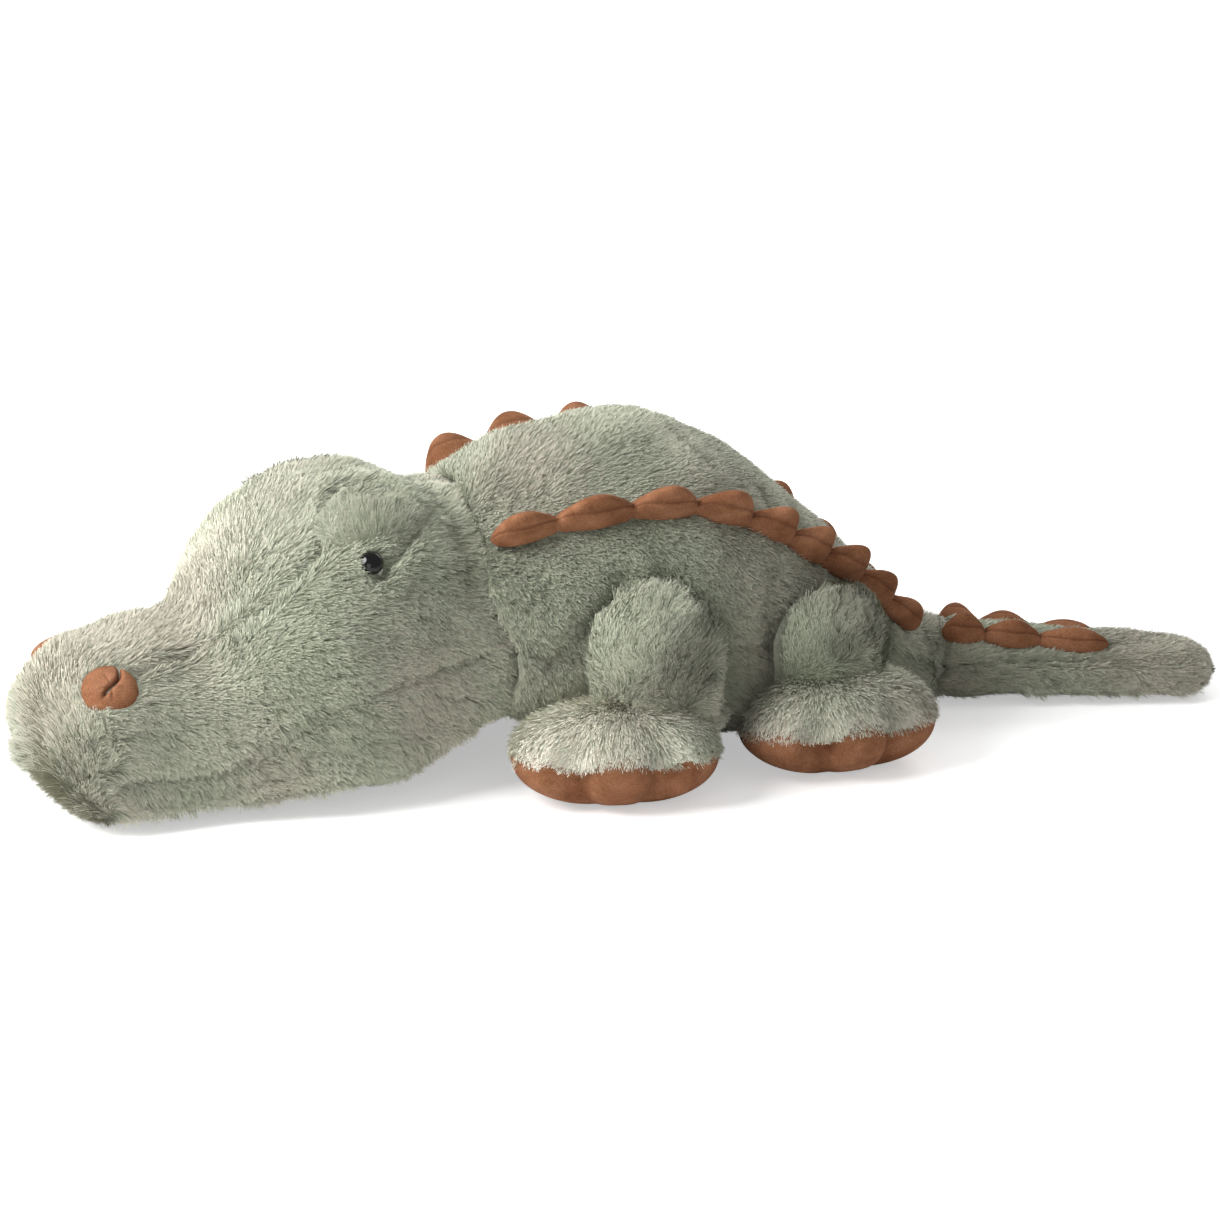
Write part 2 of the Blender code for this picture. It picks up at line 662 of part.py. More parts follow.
def build_head(parts, cutters, materials, floor):
    """Head with its eyes, washers, eyelids and nostrils, on the neck axis."""
    axis = add_axis("neck_axis", (-NECK_AXIS_FROM_BELLY, 0.0, 0.0), HEAD_TURN, parts)
    form = head_form()
    head = mesh_object("head", head_rings(), materials["fur"], parts)
    head.parent = axis
    head_clearance = grown_cutter(head, CLEARANCE, cutters)
    cut(head, floor)
    for word, side in (("left", -1), ("right", 1)):
        eye_frame = form.seat(EYE_PLACE_SHARE, section_angle(side, EYE_ANGLE), EYE_SUNK_DEPTH)
        eye = mesh_object("eye_" + word, placed(turned_rings(eye_profile(0.0), TURNED_STEPS),
                                                eye_frame), materials["eye"], parts)
        hole = mesh_object("eye_seat_" + word,
                           placed(turned_rings(eye_seat_profile(CLEARANCE), TURNED_STEPS),
                                  eye_frame), None, cutters)
        hide_cutter(hole)
        washer = washer_object("washer_" + word, eye_frame, materials["washer"], parts)
        lid_frame = form.seat(EYELID_PLACE_SHARE, section_angle(side, EYELID_ANGLE), 0.0)
        lid_rings = dome_rings(EYELID_HALF_LENGTH, EYELID_HALF_WIDTH, EYELID_HEIGHT,
                               EYELID_HEIGHT)
        lid = mesh_object("eyelid_" + word, placed(lid_rings, lid_frame), materials["fur"], parts)
        nostril_frame = form.seat(NOSTRIL_PLACE_SHARE, section_angle(side, NOSTRIL_ANGLE),
                                  NOSTRIL_SUNK_DEPTH)
        nostril = mesh_object("nostril_" + word, placed(nostril_rings(), nostril_frame),
                              materials["suede"], parts)
        for item in (eye, hole, washer, lid, nostril):
            item.parent = axis
        cut(head, hole)
        cut(head, grown_cutter(nostril, CLEARANCE, cutters))
        cut(lid, head_clearance)
        cut(lid, hole)
    return head, head_clearance


def build_body(parts, cutters, materials, floor, head, head_clearance):
    """Body, hollowed for the head's turned back, with its two ridge strips."""
    body = mesh_object("body", body_rings(), materials["fur"], parts)
    body_clearance = grown_cutter(body, CLEARANCE, cutters)
    cut(body, head_clearance)
    for cutter in swung_cutters(head, NECK_SWINGS, cutters):
        cut(body, cutter)
    cut(body, floor)
    for word, side in (("left", -1), ("right", 1)):
        angles = [section_angle(side, angle) for angle in (RIDGE_FRONT_ANGLE, RIDGE_REAR_ANGLE)]
        rings = ridge_rings(body_form(), angles, BODY_SPIKE_BORDER_SHARES,
                            BODY_SPIKE_HEIGHT_SHARES)
        ridge = mesh_object("ridge_body_" + word, rings, materials["suede"], parts)
        cut(ridge, body_clearance)
        cut(ridge, head_clearance)
    return body_clearance


def build_tail(parts, cutters, materials, floor, body_clearance):
    """Tail, hollowed for the body's turned rear end, with its two ridge strips."""
    axis = add_axis("tail_axis", (BODY_REACH_REAR, 0.0, 0.0), TAIL_BEND, parts)
    tail = mesh_object("tail", tail_rings(), materials["fur"], parts)
    tail.parent = axis
    tail_clearance = grown_cutter(tail, CLEARANCE, cutters)
    cut(tail, body_clearance)
    cut(tail, floor)
    for word, side in (("left", -1), ("right", 1)):
        angle = section_angle(side, RIDGE_REAR_ANGLE) + TAIL_TWIST
        rings = ridge_rings(tail_form(), (angle, angle), TAIL_SPIKE_BORDER_SHARES,
                            TAIL_SPIKE_HEIGHT_SHARES)
        ridge = mesh_object("ridge_tail_" + word, rings, materials["suede"], parts)
        ridge.parent = axis
        cut(ridge, tail_clearance)
        cut(ridge, body_clearance)


def build_leg(name, sizes, parts, cutters, materials, floor, body_clearance):
    """Limb with its foot, hung from the seam along its top."""
    side, leg_x, leg_y, top, radius, foot_x, foot_y, foot_turn = sizes
    hinge_height = top + LEG_HINGE_RISE
    hinge_reach = body_form().flank(leg_x, hinge_height) - LEG_HINGE_INSET
    hinge = (leg_x, side * hinge_reach, hinge_height)
    axis = add_axis(name.replace("leg", "hip_axis"), hinge, 0.0, parts)
    leg = mesh_object(name, leg_rings(top, radius, side), materials["fur"], parts)
    leg.parent = axis
    leg.location = (0.0, side * leg_y - hinge[1], -hinge[2])
    leg_clearance = grown_cutter(leg, CLEARANCE, cutters)
    cut(leg, body_clearance)
    foot_place = (foot_x - leg_x, side * foot_y - hinge[1], -hinge[2])
    foot_angle = -side * foot_turn
    upper = foot_half_rings(FOOT_HEIGHT - FOOT_SEAM_HEIGHT, FOOT_SEAM_HEIGHT + CLEARANCE, side, 4)
    lower = foot_half_rings(-FOOT_SEAM_HEIGHT - FLOOR_FLAT_DEPTH, FOOT_SEAM_HEIGHT, side, 3)
    paw = mesh_object(name.replace("leg", "paw"), upper, materials["paw_fur"], parts)
    sole = mesh_object(name.replace("leg", "sole"), lower, materials["suede"], parts)
    for piece in (paw, sole):
        piece.parent = axis
        piece.location = foot_place
        piece.rotation_euler = (0.0, 0.0, foot_angle)
        cut(piece, body_clearance)
    cut(paw, leg_clearance)
    cut(sole, floor)


def main():
    """Build the toy."""
    clear_scene()
    parts = new_collection(OBJECT_NAME)
    cutters = new_collection("cutters", hidden=True)
    materials = {
        "fur": make_material("sage_fur", FUR_COLOUR, 0.95),
        "paw_fur": make_material("pale_paw_fur", PAW_FUR_COLOUR, 0.95),
        "suede": make_material("rust_suede", SUEDE_COLOUR, 0.9),
        "eye": make_material("black_gloss", EYE_COLOUR, 0.08),
        "washer": make_material("white_plastic", WASHER_COLOUR, 0.5),
    }
    floor = floor_cutter(cutters)
    head, head_clearance = build_head(parts, cutters, materials, floor)
    body_clearance = build_body(parts, cutters, materials, floor, head, head_clearance)
    build_tail(parts, cutters, materials, floor, body_clearance)
    front = (FRONT_LEG_X, FRONT_LEG_Y, FRONT_LEG_TOP, FRONT_LEG_RADIUS,
             FRONT_FOOT_X, FRONT_FOOT_Y, FRONT_FOOT_TURN)
    rear = (REAR_LEG_X, REAR_LEG_Y, REAR_LEG_TOP, REAR_LEG_RADIUS,
            REAR_FOOT_X, REAR_FOOT_Y, REAR_FOOT_TURN)
    for word, side in (("left", -1), ("right", 1)):
        for end, sizes in (("front", front), ("rear", rear)):
            build_leg("leg_" + end + "_" + word, (side,) + sizes, parts, cutters, materials,
                      floor, body_clearance)


main()
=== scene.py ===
"""Plush crocodile: long sage faux fur, rust suede ridges, soles and nostrils, glossy eyes.

Run as a script. It builds the toy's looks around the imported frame, one operator a piece.
Every length is in metres. A form's place is a share of its length, and its angle turns
round a section from the left seam (0) over the top (90 degrees) to the right seam (180).
"""

import math

import bpy
import numpy as np
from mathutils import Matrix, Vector


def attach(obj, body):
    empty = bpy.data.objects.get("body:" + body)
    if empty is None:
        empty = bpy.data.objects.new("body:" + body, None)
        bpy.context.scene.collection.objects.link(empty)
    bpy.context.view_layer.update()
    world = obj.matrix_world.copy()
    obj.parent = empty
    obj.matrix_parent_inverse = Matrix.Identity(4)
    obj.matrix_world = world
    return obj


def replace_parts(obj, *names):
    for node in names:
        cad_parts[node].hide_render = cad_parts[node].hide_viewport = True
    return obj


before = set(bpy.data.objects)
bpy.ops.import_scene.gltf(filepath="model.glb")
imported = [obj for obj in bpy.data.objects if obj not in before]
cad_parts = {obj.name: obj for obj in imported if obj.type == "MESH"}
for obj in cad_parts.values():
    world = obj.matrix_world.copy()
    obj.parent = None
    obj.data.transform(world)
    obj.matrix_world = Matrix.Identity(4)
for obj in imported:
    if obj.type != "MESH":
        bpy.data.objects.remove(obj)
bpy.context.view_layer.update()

bl_info = {
    "name": "Plush Crocodile",
    "version": (1, 0, 0),
    "blender": (4, 5, 0),
    "location": "3D View > Sidebar > Plush Crocodile",
    "description": "Skins, fur, suede and eyes of a stuffed crocodile",
    "category": "Object",
}

SIDES = (("left", -1), ("right", 1))
TAU = 2.0 * math.pi
WHITE = (1.0, 1.0, 1.0, 1.0)
UP = np.array((0.0, 0.0, 1.0))
SMALL = 1e-9
CLOSED = 1e-6  # spread of a ring that has closed to a point
NARROW = 0.02  # a quad this much smaller than most takes its neighbours' normal


def linear(code):
    """Linear colour of an sRGB hex code."""
    parts = np.array([int(code[i:i + 2], 16) for i in (1, 3, 5)]) / 255.0
    parts = np.where(parts <= 0.04045, parts / 12.92, ((parts + 0.055) / 1.055) ** 2.4)
    return tuple(float(part) for part in parts) + (1.0,)


# ---------------------------------------------------------------- forms

# the neck's and the tail's axes along X, and the turns of the pieces about them
NECK_X = -0.170
HEAD_TURN = math.radians(12.0)
TAIL_X = 0.190
TAIL_BEND = math.radians(-17.0)
TAIL_TWIST = math.radians(14.0)

BODY_HEIGHT = 0.227
# Each form runs along X from its start. Its widths and heights are the shares in its stations
# times its width and height, and its tip is the length of its rounded end. A section is a
# superellipse with one power above the seam and one below, pinched in at the seam.
HEAD = {
    "start": 0.0, "length": -0.278, "width": 0.115, "height": 0.947 * BODY_HEIGHT,
    "powers": (2.15, 3.4), "pinch": 0.004, "tip": 0.046,
    # place, half width, top, bottom, seam height
    "stations": ((0.00, 1.000, 0.905, 0.135, 0.400), (0.10, 1.010, 0.940, 0.060, 0.370),
                 (0.22, 1.010, 0.945, 0.005, 0.320), (0.34, 0.985, 0.912, 0.000, 0.255),
                 (0.43, 0.920, 0.858, 0.000, 0.200), (0.51, 0.835, 0.742, 0.000, 0.160),
                 (0.57, 0.755, 0.625, 0.000, 0.140), (0.64, 0.715, 0.570, 0.000, 0.130),
                 (0.75, 0.690, 0.550, 0.000, 0.135), (0.87, 0.690, 0.530, 0.000, 0.150),
                 (1.00, 0.680, 0.480, 0.000, 0.155)),
}
BODY = {
    "start": -0.166, "length": 0.356, "width": 0.125, "height": BODY_HEIGHT,
    "powers": (2.1, 3.4), "pinch": 0.003, "tip": 0.020,
    "stations": ((0.00, 0.920, 0.820, 0.150, 0.400), (0.07, 0.935, 0.865, 0.135, 0.390),
                 (0.18, 0.965, 0.922, 0.095, 0.375), (0.29, 0.990, 0.957, 0.030, 0.365),
                 (0.40, 1.000, 0.975, 0.000, 0.355), (0.50, 0.990, 0.945, 0.000, 0.350),
                 (0.60, 0.940, 0.855, 0.000, 0.340), (0.70, 0.850, 0.730, 0.000, 0.320),
                 (0.80, 0.720, 0.600, 0.000, 0.280), (0.90, 0.510, 0.440, 0.000, 0.210),
                 (1.00, 0.320, 0.275, 0.000, 0.130)),
}
TAIL = {
    "start": 0.0, "length": 0.215, "width": 0.041, "height": 0.061,
    "powers": (2.0, 3.4), "pinch": 0.0015, "tip": 0.032,
    "stations": ((0.00, 0.880, 0.960, 0.000, 0.440), (0.15, 0.880, 0.915, 0.000, 0.420),
                 (0.35, 0.830, 0.845, 0.000, 0.370), (0.55, 0.780, 0.780, 0.000, 0.330),
                 (0.75, 0.730, 0.735, 0.000, 0.310), (1.00, 0.640, 0.650, 0.000, 0.290)),
}
SPOT_STEP = 0.004
SEAM_SPREAD = 0.16  # half width of the pinch, as a share of the section's height


def smooth_curve(places, values, wanted):
    """Smooth curve through values at places: cubic pieces that share their slopes."""
    places, values = np.asarray(places, float), np.asarray(values, float)
    slopes = np.gradient(values, places)
    first = np.clip(np.searchsorted(places, wanted, side="right") - 1, 0, len(places) - 2)
    span = places[first + 1] - places[first]
    part = np.clip((wanted - places[first]) / span, 0.0, 1.0)
    start, end = values[first], values[first + 1]
    rise_start, rise_end = slopes[first] * span, slopes[first + 1] * span
    bend = 2.0 * (start - end) + rise_start + rise_end
    sweep = 3.0 * (end - start) - 2.0 * rise_start - rise_end
    return ((bend * part + sweep) * part + rise_start) * part + start


def signed_power(values, power):
    """Size of the values raised to the power, with their signs."""
    return np.sign(values) * np.abs(values) ** power


def bell(distance, width):
    """Bell of height 1 at distance 0."""
    return np.exp(-((distance / width) ** 2))


def unit(vectors):
    """Vectors at length 1."""
    return vectors / np.maximum(np.linalg.norm(vectors, axis=-1, keepdims=True), SMALL)


def dots(first, second):
    """Dot product along the last axis, kept as a column."""
    return np.sum(first * second, axis=-1, keepdims=True)


def section_sizes(form, place):
    """Half width, top, bottom and seam height of a form at places along it."""
    table = np.array(form["stations"])
    width, top, bottom, seam = (smooth_curve(table[:, 0], table[:, column], place)
                                for column in range(1, 5))
    return (width * form["width"], top * form["height"],
            np.maximum(bottom, 0.0) * form["height"], seam * form["height"])


def form_points(form, place, angle):
    """Superellipse sections along X: the side is cos(angle) and the height is sin(angle),
    each raised to 2 over the section's power, pinched in at the seams."""
    place, angle = np.broadcast_arrays(np.asarray(place, float), np.asarray(angle, float))
    half_width, top, lowest, seam = section_sizes(form, place)
    across, up = np.cos(angle), np.sin(angle)
    power = np.where(up >= 0.0, form["powers"][0], form["powers"][1])
    reach = np.where(up >= 0.0, top - seam, seam - lowest)
    side = -signed_power(across, 2.0 / power) * half_width
    side = side + np.sign(across) * form["pinch"] * bell(up, SEAM_SPREAD)
    height = seam + signed_power(up, 2.0 / power) * reach
    return np.stack([form["start"] + form["length"] * place, side, height], axis=-1)


def section_reach(form, place, height, lowered=0.0):
    """Half width of a section at a height, from the superellipse solved for its side, and
    the share of the way from the seam to its top or bottom. The top may be lowered."""
    half_width, top, lowest, seam = section_sizes(form, place)
    above = height >= seam
    power = np.where(above, *form["powers"])
    rise = np.where(above, (height - seam) / (top - lowered - seam),
                    (seam - height) / (seam - lowest))
    inside = np.clip(1.0 - np.clip(rise, 0.0, 1.0) ** power, 0.0, 1.0)
    return half_width * inside ** (1.0 / power), rise


def spot_frame(form, place, angle):
    """The way along a form, the outward way and the point, at spots given by place and
    angle: the outward way is square to two short steps on the surface."""
    point = form_points(form, place, angle)
    along = (form_points(form, place + SPOT_STEP, angle)
             - form_points(form, place - SPOT_STEP, angle))
    around = (form_points(form, place, angle + SPOT_STEP)
              - form_points(form, place, angle - SPOT_STEP))
    normal = unit(np.cross(around, along))
    return unit(along), normal * np.sign(normal[..., 1:2] * point[..., 1:2]), point


def seat(form, place, angle, depth=0.0):
    """Along, across, outward and the point at one spot of a form, sunk by the depth."""
    along, normal, point = spot_frame(form, place, angle)
    return along, np.cross(normal, along), normal, point - normal * depth


def side_angle(side, angle):
    """An angle on the left side, or its mirror image on the right."""
    return angle if side < 0 else math.pi - angle


def end_curve(share, count):
    """Places over a rounded end, closer together toward its tip."""
    return 1.0 - share + share * np.sin(np.linspace(0.0, math.pi / 2.0, count + 1)[1:])


def close_end(points, place, share, power, middle):
    """Draw sections together over the rounded end, about a middle height."""
    part = np.clip((place - (1.0 - share)) / share, 0.0, 1.0)
    factor = np.clip(1.0 - part ** power, 0.0, 1.0) ** (1.0 / power)
    drawn = points.copy()
    drawn[..., 1] *= factor
    drawn[..., 2] = middle + (points[..., 2] - middle) * factor
    return drawn


def swing_end(ring, count):
    """Swing a section round the upright axis through its middle, by up to a right angle."""
    turn = np.linspace(0.0, math.pi / 2.0, count + 1)[1:, None]
    along = ring[None, :, 0] + np.abs(ring[None, :, 1]) * np.sin(turn)
    height = np.broadcast_to(ring[None, :, 2], along.shape)
    return np.stack([along, ring[None, :, 1] * np.cos(turn), height], axis=-1)


def turned(points, angle, shift=0.0):
    """Points or directions turned about Z, and points then moved along X."""
    turn = np.array(((math.cos(angle), math.sin(angle), 0.0),
                     (-math.sin(angle), math.cos(angle), 0.0), (0.0, 0.0, 1.0)))
    return points @ turn + np.array((shift, 0.0, 0.0))


def head_frame(points, move=True):
    """From the head's own frame to the toy's."""
    return turned(points, HEAD_TURN, NECK_X if move else 0.0)


def tail_frame(points, move=True):
    """From the tail's own frame to the toy's."""
    return turned(points, TAIL_BEND, TAIL_X if move else 0.0)


class Skin:
    """A closed grid of points whose columns run round it, with a field of values on it."""

    def __init__(self, points, place=None, angle=None):
        self.points = points
        self.place, self.angle = place, angle
        self.find_normals()

    def find_normals(self):
        """Normals from the differences of neighbouring rows and columns."""
        around = np.roll(self.points, -1, axis=1) - np.roll(self.points, 1, axis=1)
        along = np.gradient(self.points, axis=0)
        normal = np.cross(along, around)
        size = np.linalg.norm(normal, axis=-1, keepdims=True)
        middle = self.points.mean(axis=1, keepdims=True)
        sign = np.sign(np.sum(normal * (self.points - middle)))
        normal = sign * normal / np.maximum(size, SMALL)
        beside = unit(np.roll(normal, 1, axis=1) + np.roll(normal, -1, axis=1))
        normal = np.where(size < NARROW * np.median(size), beside, normal)
        for row, inner in ((0, 1), (-1, -2)):
            if np.abs(self.points[row] - self.points[row].mean(axis=0)).max() < CLOSED:
                normal[row] = unit(normal[inner].mean(axis=0))[None, :]
        self.normals = normal

    def move(self, distance):
        """Move the points along their normals."""
        self.points = self.points + self.normals * distance[..., None]
        self.find_normals()

    def press(self, axis, values, hidden):
        """Give one coordinate new values. Only the hidden points get new normals."""
        self.points[..., axis] = values
        normals = self.normals
        self.find_normals()
        self.normals = np.where(hidden[..., None], self.normals, normals)

    def place_in(self, to_toy):
        """Put a skin made in its form's own frame into the toy's."""
        self.points, self.normals = to_toy(self.points), to_toy(self.normals, False)


def mesh_of(name, vertices, faces):
    """Mesh object from points and equal faces."""
    mesh = bpy.data.meshes.new(name)
    vertices, faces = np.asarray(vertices, np.float32), np.asarray(faces, np.int32)
    mesh.vertices.add(len(vertices))
    mesh.vertices.foreach_set("co", vertices.ravel())
    mesh.loops.add(faces.size)
    mesh.loops.foreach_set("vertex_index", faces.ravel())
    mesh.polygons.add(len(faces))
    starts = np.arange(0, faces.size, faces.shape[1], dtype=np.int32)
    mesh.polygons.foreach_set("loop_start", starts)
    mesh.update(calc_edges=True)
    mesh.shade_smooth()
    item = bpy.data.objects.new(name, mesh)
    bpy.context.scene.collection.objects.link(item)
    return item


WELD = 2e-5


def grid_faces(rows, columns):
    """Quads of a grid whose columns close."""
    row, column = np.meshgrid(np.arange(rows - 1), np.arange(columns), indexing="ij")
    after = (column + 1) % columns
    first = row * columns
    return np.stack([first + column, first + after, first + columns + after,
                     first + columns + column], axis=-1).reshape(-1, 4)


def grid_object(name, points, material, seam=None):
    """Closed skin from rings of points: quads between rings, ends welded, faces outward.
    The seam values are kept as an attribute, which darkens the fabric with painted shade."""
    rows, columns = points.shape[:2]
    item = mesh_of(name, points.reshape(-1, 3), grid_faces(rows, columns))
    mesh = item.data
    if seam is not None:
        layer = mesh.attributes.new("seam", "FLOAT", "POINT")
        layer.data.foreach_set("value", np.asarray(seam, np.float32).ravel())
    bpy.context.view_layer.objects.active = item
    for other in bpy.context.selected_objects:
        other.select_set(False)
    item.select_set(True)
    bpy.ops.object.mode_set(mode="EDIT")
    bpy.ops.mesh.select_all(action="SELECT")
    bpy.ops.mesh.remove_doubles(threshold=WELD)
    bpy.ops.mesh.dissolve_degenerate(threshold=WELD)
    bpy.ops.mesh.fill_holes(sides=0)
    bpy.ops.mesh.select_all(action="SELECT")
    bpy.ops.mesh.normals_make_consistent(inside=False)
    bpy.ops.object.mode_set(mode="OBJECT")
    mesh.shade_smooth()
    mesh.materials.append(material)
    return item


# ---------------------------------------------------------------- creases

def form_line(form, pairs, steps=6):
    """Points along a line that is given by places and angles in degrees on a form."""
    pairs = np.array(pairs, float)
    spots = np.linspace(0, len(pairs) - 1, (len(pairs) - 1) * steps + 1)
    place = np.interp(spots, np.arange(len(pairs)), pairs[:, 0])
    angle = np.radians(np.interp(spots, np.arange(len(pairs)), pairs[:, 1]))
    return form_points(form, place, angle)


def nearest(points, line):
    """Distance from each point to a line of short stretches, and the vector to it."""
    best = np.full(points.shape[:-1], np.inf)
    toward = np.zeros(points.shape)
    for start, end in zip(line, line[1:]):
        stretch = end - start
        part = np.clip(((points - start) @ stretch) / (stretch @ stretch + SMALL), 0.0, 1.0)
        vector = start + part[..., None] * stretch - points
        size = np.linalg.norm(vector, axis=-1)
        closer = size < best
        best = np.where(closer, size, best)
        toward = np.where(closer[..., None], vector, toward)
    return best, toward


# each crease: places and angles, its depth and its half width in metres
HEAD_CREASES = (
    (((0.775, 55), (0.740, 57), (0.618, 60), (0.508, 49), (0.458, 50), (0.408, 51),
      (0.357, 54), (0.336, 61), (0.262, 75), (0.167, 74), (0.106, 64)), 0.0036, 0.0038),
    (((0.905, 36), (0.900, 22), (0.917, 4)), 0.0042, 0.0040),
    (((0.060, 60), (0.130, 50), (0.190, 43), (0.225, 40)), 0.0040, 0.0045),
    (((0.225, 40), (0.270, 38), (0.330, 44)), 0.0030, 0.0040),
    (((0.993, 22), (0.985, 20)), 0.0040, 0.0030),
    (((0.000, 4), (0.070, 5), (0.192, 7), (0.371, 10), (0.474, 9), (0.549, 6), (0.715, 4),
      (0.884, 4), (1.000, 0)), 0.0038, 0.0034),
)
BODY_CREASES = (
    (((0.372, 25), (0.400, 20), (0.432, 15), (0.468, 8)), 0.0045, 0.0080),
    (((0.310, 25), (0.278, 18), (0.245, 13), (0.208, 8), (0.165, 2)), 0.0050, 0.0080),
    (((0.600, 30), (0.590, 20), (0.595, 12), (0.610, 4)), 0.0040, 0.0070),
    (((0.482, 79), (0.497, 71), (0.522, 63)), 0.0025, 0.0060),
    (((0.620, 63), (0.630, 53), (0.633, 49)), 0.0030, 0.0055),
    (((0.700, 72), (0.698, 60), (0.690, 50)), 0.0030, 0.0055),
    (((0.802, 42), (0.792, 30), (0.790, 14), (0.800, 0)), 0.0040, 0.0060),
    (((0.863, 42), (0.845, 34), (0.843, 18), (0.850, 2)), 0.0040, 0.0060),
    (((0.905, 38), (0.895, 20), (0.900, 4)), 0.0030, 0.0050),
    (((0.000, 4), (0.090, 6), (0.127, 4), (0.175, 3), (0.500, 4), (0.620, 3), (1.000, 2)),
     0.0032, 0.0034),
)
TAIL_CREASES = (
    (((0.000, 0), (0.104, 3), (0.259, 17), (0.486, 27), (0.722, 31), (0.867, 36), (0.930, 38)),
     0.0034, 0.0030),
)


def form_creases(form, creases):
    """Every crease of a form, both sides, with its depth and half width."""
    found = []
    for pairs, depth, width in creases:
        line = form_line(form, pairs)
        found += [(line, depth, width), (line * np.array((1.0, -1.0, 1.0)), depth, width)]
    return found


BULGE = 0.22  # height of the swelling beside a crease as a share of its depth
BULGE_AT = 2.2  # its distance, in half widths of the crease
ON_LINE = 0.0004  # this near to a crease's middle the pile has no way off it


def crease_fields(points, creases):
    """Depth of the grooves at the points, share of a crease there, and the way off it."""
    groove = np.zeros(points.shape[:-1])
    near = np.zeros(points.shape[:-1])
    away = np.zeros(points.shape)
    for line, depth, width in creases:
        distance, toward = nearest(points, line)
        groove = groove + depth * bell(distance, width) - BULGE * depth * bell(
            distance - BULGE_AT * width, width)
        share = bell(distance, width * 1.3)
        near = np.maximum(near, share)
        away = away - unit(toward) * (share * (distance > ON_LINE))[..., None]
    return groove, near, away


# ---------------------------------------------------------------- noise

def waves(points, size, seed, count=7):
    """Smooth wandering values from -1 to 1: a sum of sine waves in seeded directions."""
    rng = np.random.default_rng(seed)
    total = np.zeros(points.shape[:-1])
    for _ in range(count):
        way = rng.normal(size=3)
        way *= TAU / (size * rng.uniform(0.7, 1.5) * np.linalg.norm(way))
        total += np.sin(points @ way + rng.uniform(0.0, TAU))
    return total / math.sqrt(count * 0.5) * 0.6


def cell_noise(keys, channel):
    """Even pseudo-random values from 0 to 1 for whole-number cells."""
    mixed = (keys[..., 0] * 73856093) ^ (keys[..., 1] * 19349663) ^ (keys[..., 2] * 83492791)
    mixed = (mixed ^ (channel * 2654435761)) & 0xFFFFFFFF
    mixed = ((mixed ^ (mixed >> 15)) * 2246822519) & 0xFFFFFFFF
    mixed = ((mixed ^ (mixed >> 13)) * 3266489917) & 0xFFFFFFFF
    return ((mixed ^ (mixed >> 16)) & 0xFFFFFF) / float(0xFFFFFF)


def tufts(points, cell):
    """Nearest jittered cell centre for each point, and the centre's cell."""
    base = np.floor(points / cell).astype(np.int64)
    best = np.full(len(points), np.inf)
    centre = np.zeros_like(points)
    owner = base.copy()
    for step in np.ndindex(3, 3, 3):
        key = base + (np.array(step) - 1)
        jitter = np.stack([cell_noise(key, channel) for channel in (1, 2, 3)], axis=-1)
        spot = (key + jitter) * cell
        distance = np.sum((spot - points) ** 2, axis=-1)
        closer = distance < best
        best = np.where(closer, distance, best)
        centre = np.where(closer[:, None], spot, centre)
        owner = np.where(closer[:, None], key, owner)
    return centre, owner


# ---------------------------------------------------------------- fur

PILE = 0.0092  # length of the pile's strands
INSET = 0.0050  # how deep the backing lies under the CAD surface, which the tips reach
FLOOR_GAP = 0.0003  # least and spread height of a strand over the floor
FLOOR_SPREAD = 0.0010
PIECE_STRANDS = 190000  # most strands in one mesh
BANDS = 4  # hues in the fur, from cool to warm

STYLE = {
    "width": 0.00036,  # of a strand at its wide end
    "blunt": 0.30,  # share of strands that are wide at the tip
    "least": 0.002,  # shortest strand
    "tuft": 0.014, "lock": 0.0040,  # sizes of the large and the small tufts
    "big_pull": 0.08, "pull": 0.24,  # how far tips are drawn to the middles of their tufts
    "veer": 1.0, "stray": 0.25,  # radians that tufts and single strands turn off the comb
    "rise_play": 0.34, "rise_stray": 0.10, "least_rise": 0.06, "most_rise": 1.5,
    "base_rise": 0.25, "tip_fall": 0.30,  # radians that a strand bends over
    "length_play": 0.34, "length_stray": 0.18,
    "shade_play": (0.14, 0.16), "shade_stray": (0.04, 0.06), "warmth_stray": 0.25,
    "roll": 0.6,  # radians that a blade rolls about its own length
}


def scatter(skin, density, count, rng):
    """Points spread over a skin's quads by area and density, as cells and parts of cells."""
    points = skin.points
    right = np.roll(points, -1, axis=1)
    first = right[1:] - points[:-1]
    second = points[1:] - right[:-1]
    area = 0.5 * np.linalg.norm(np.cross(first, second), axis=-1)
    weight = density
    weight = 0.25 * (weight[1:] + weight[:-1] + np.roll(weight, -1, 1)[1:]
                     + np.roll(weight, -1, 1)[:-1])
    total = np.cumsum((area * weight).ravel())
    cell = np.searchsorted(total, rng.random(count) * total[-1])
    cell = np.clip(cell, 0, len(total) - 1)
    row, column = np.divmod(cell, points.shape[1])
    order = np.argsort(row, kind="stable")
    return row[order], column[order], rng.random(count), rng.random(count)


def read(field, spots):
    """Values of a grid field at scattered spots, by straight-line mixing."""
    row, column, down, across = spots
    after = (column + 1) % field.shape[1]
    if field.ndim == 3:
        down, across = down[:, None], across[:, None]
    upper = field[row, column] * (1.0 - across) + field[row, after] * across
    lower = field[row + 1, column] * (1.0 - across) + field[row + 1, after] * across
    return upper * (1.0 - down) + lower * down


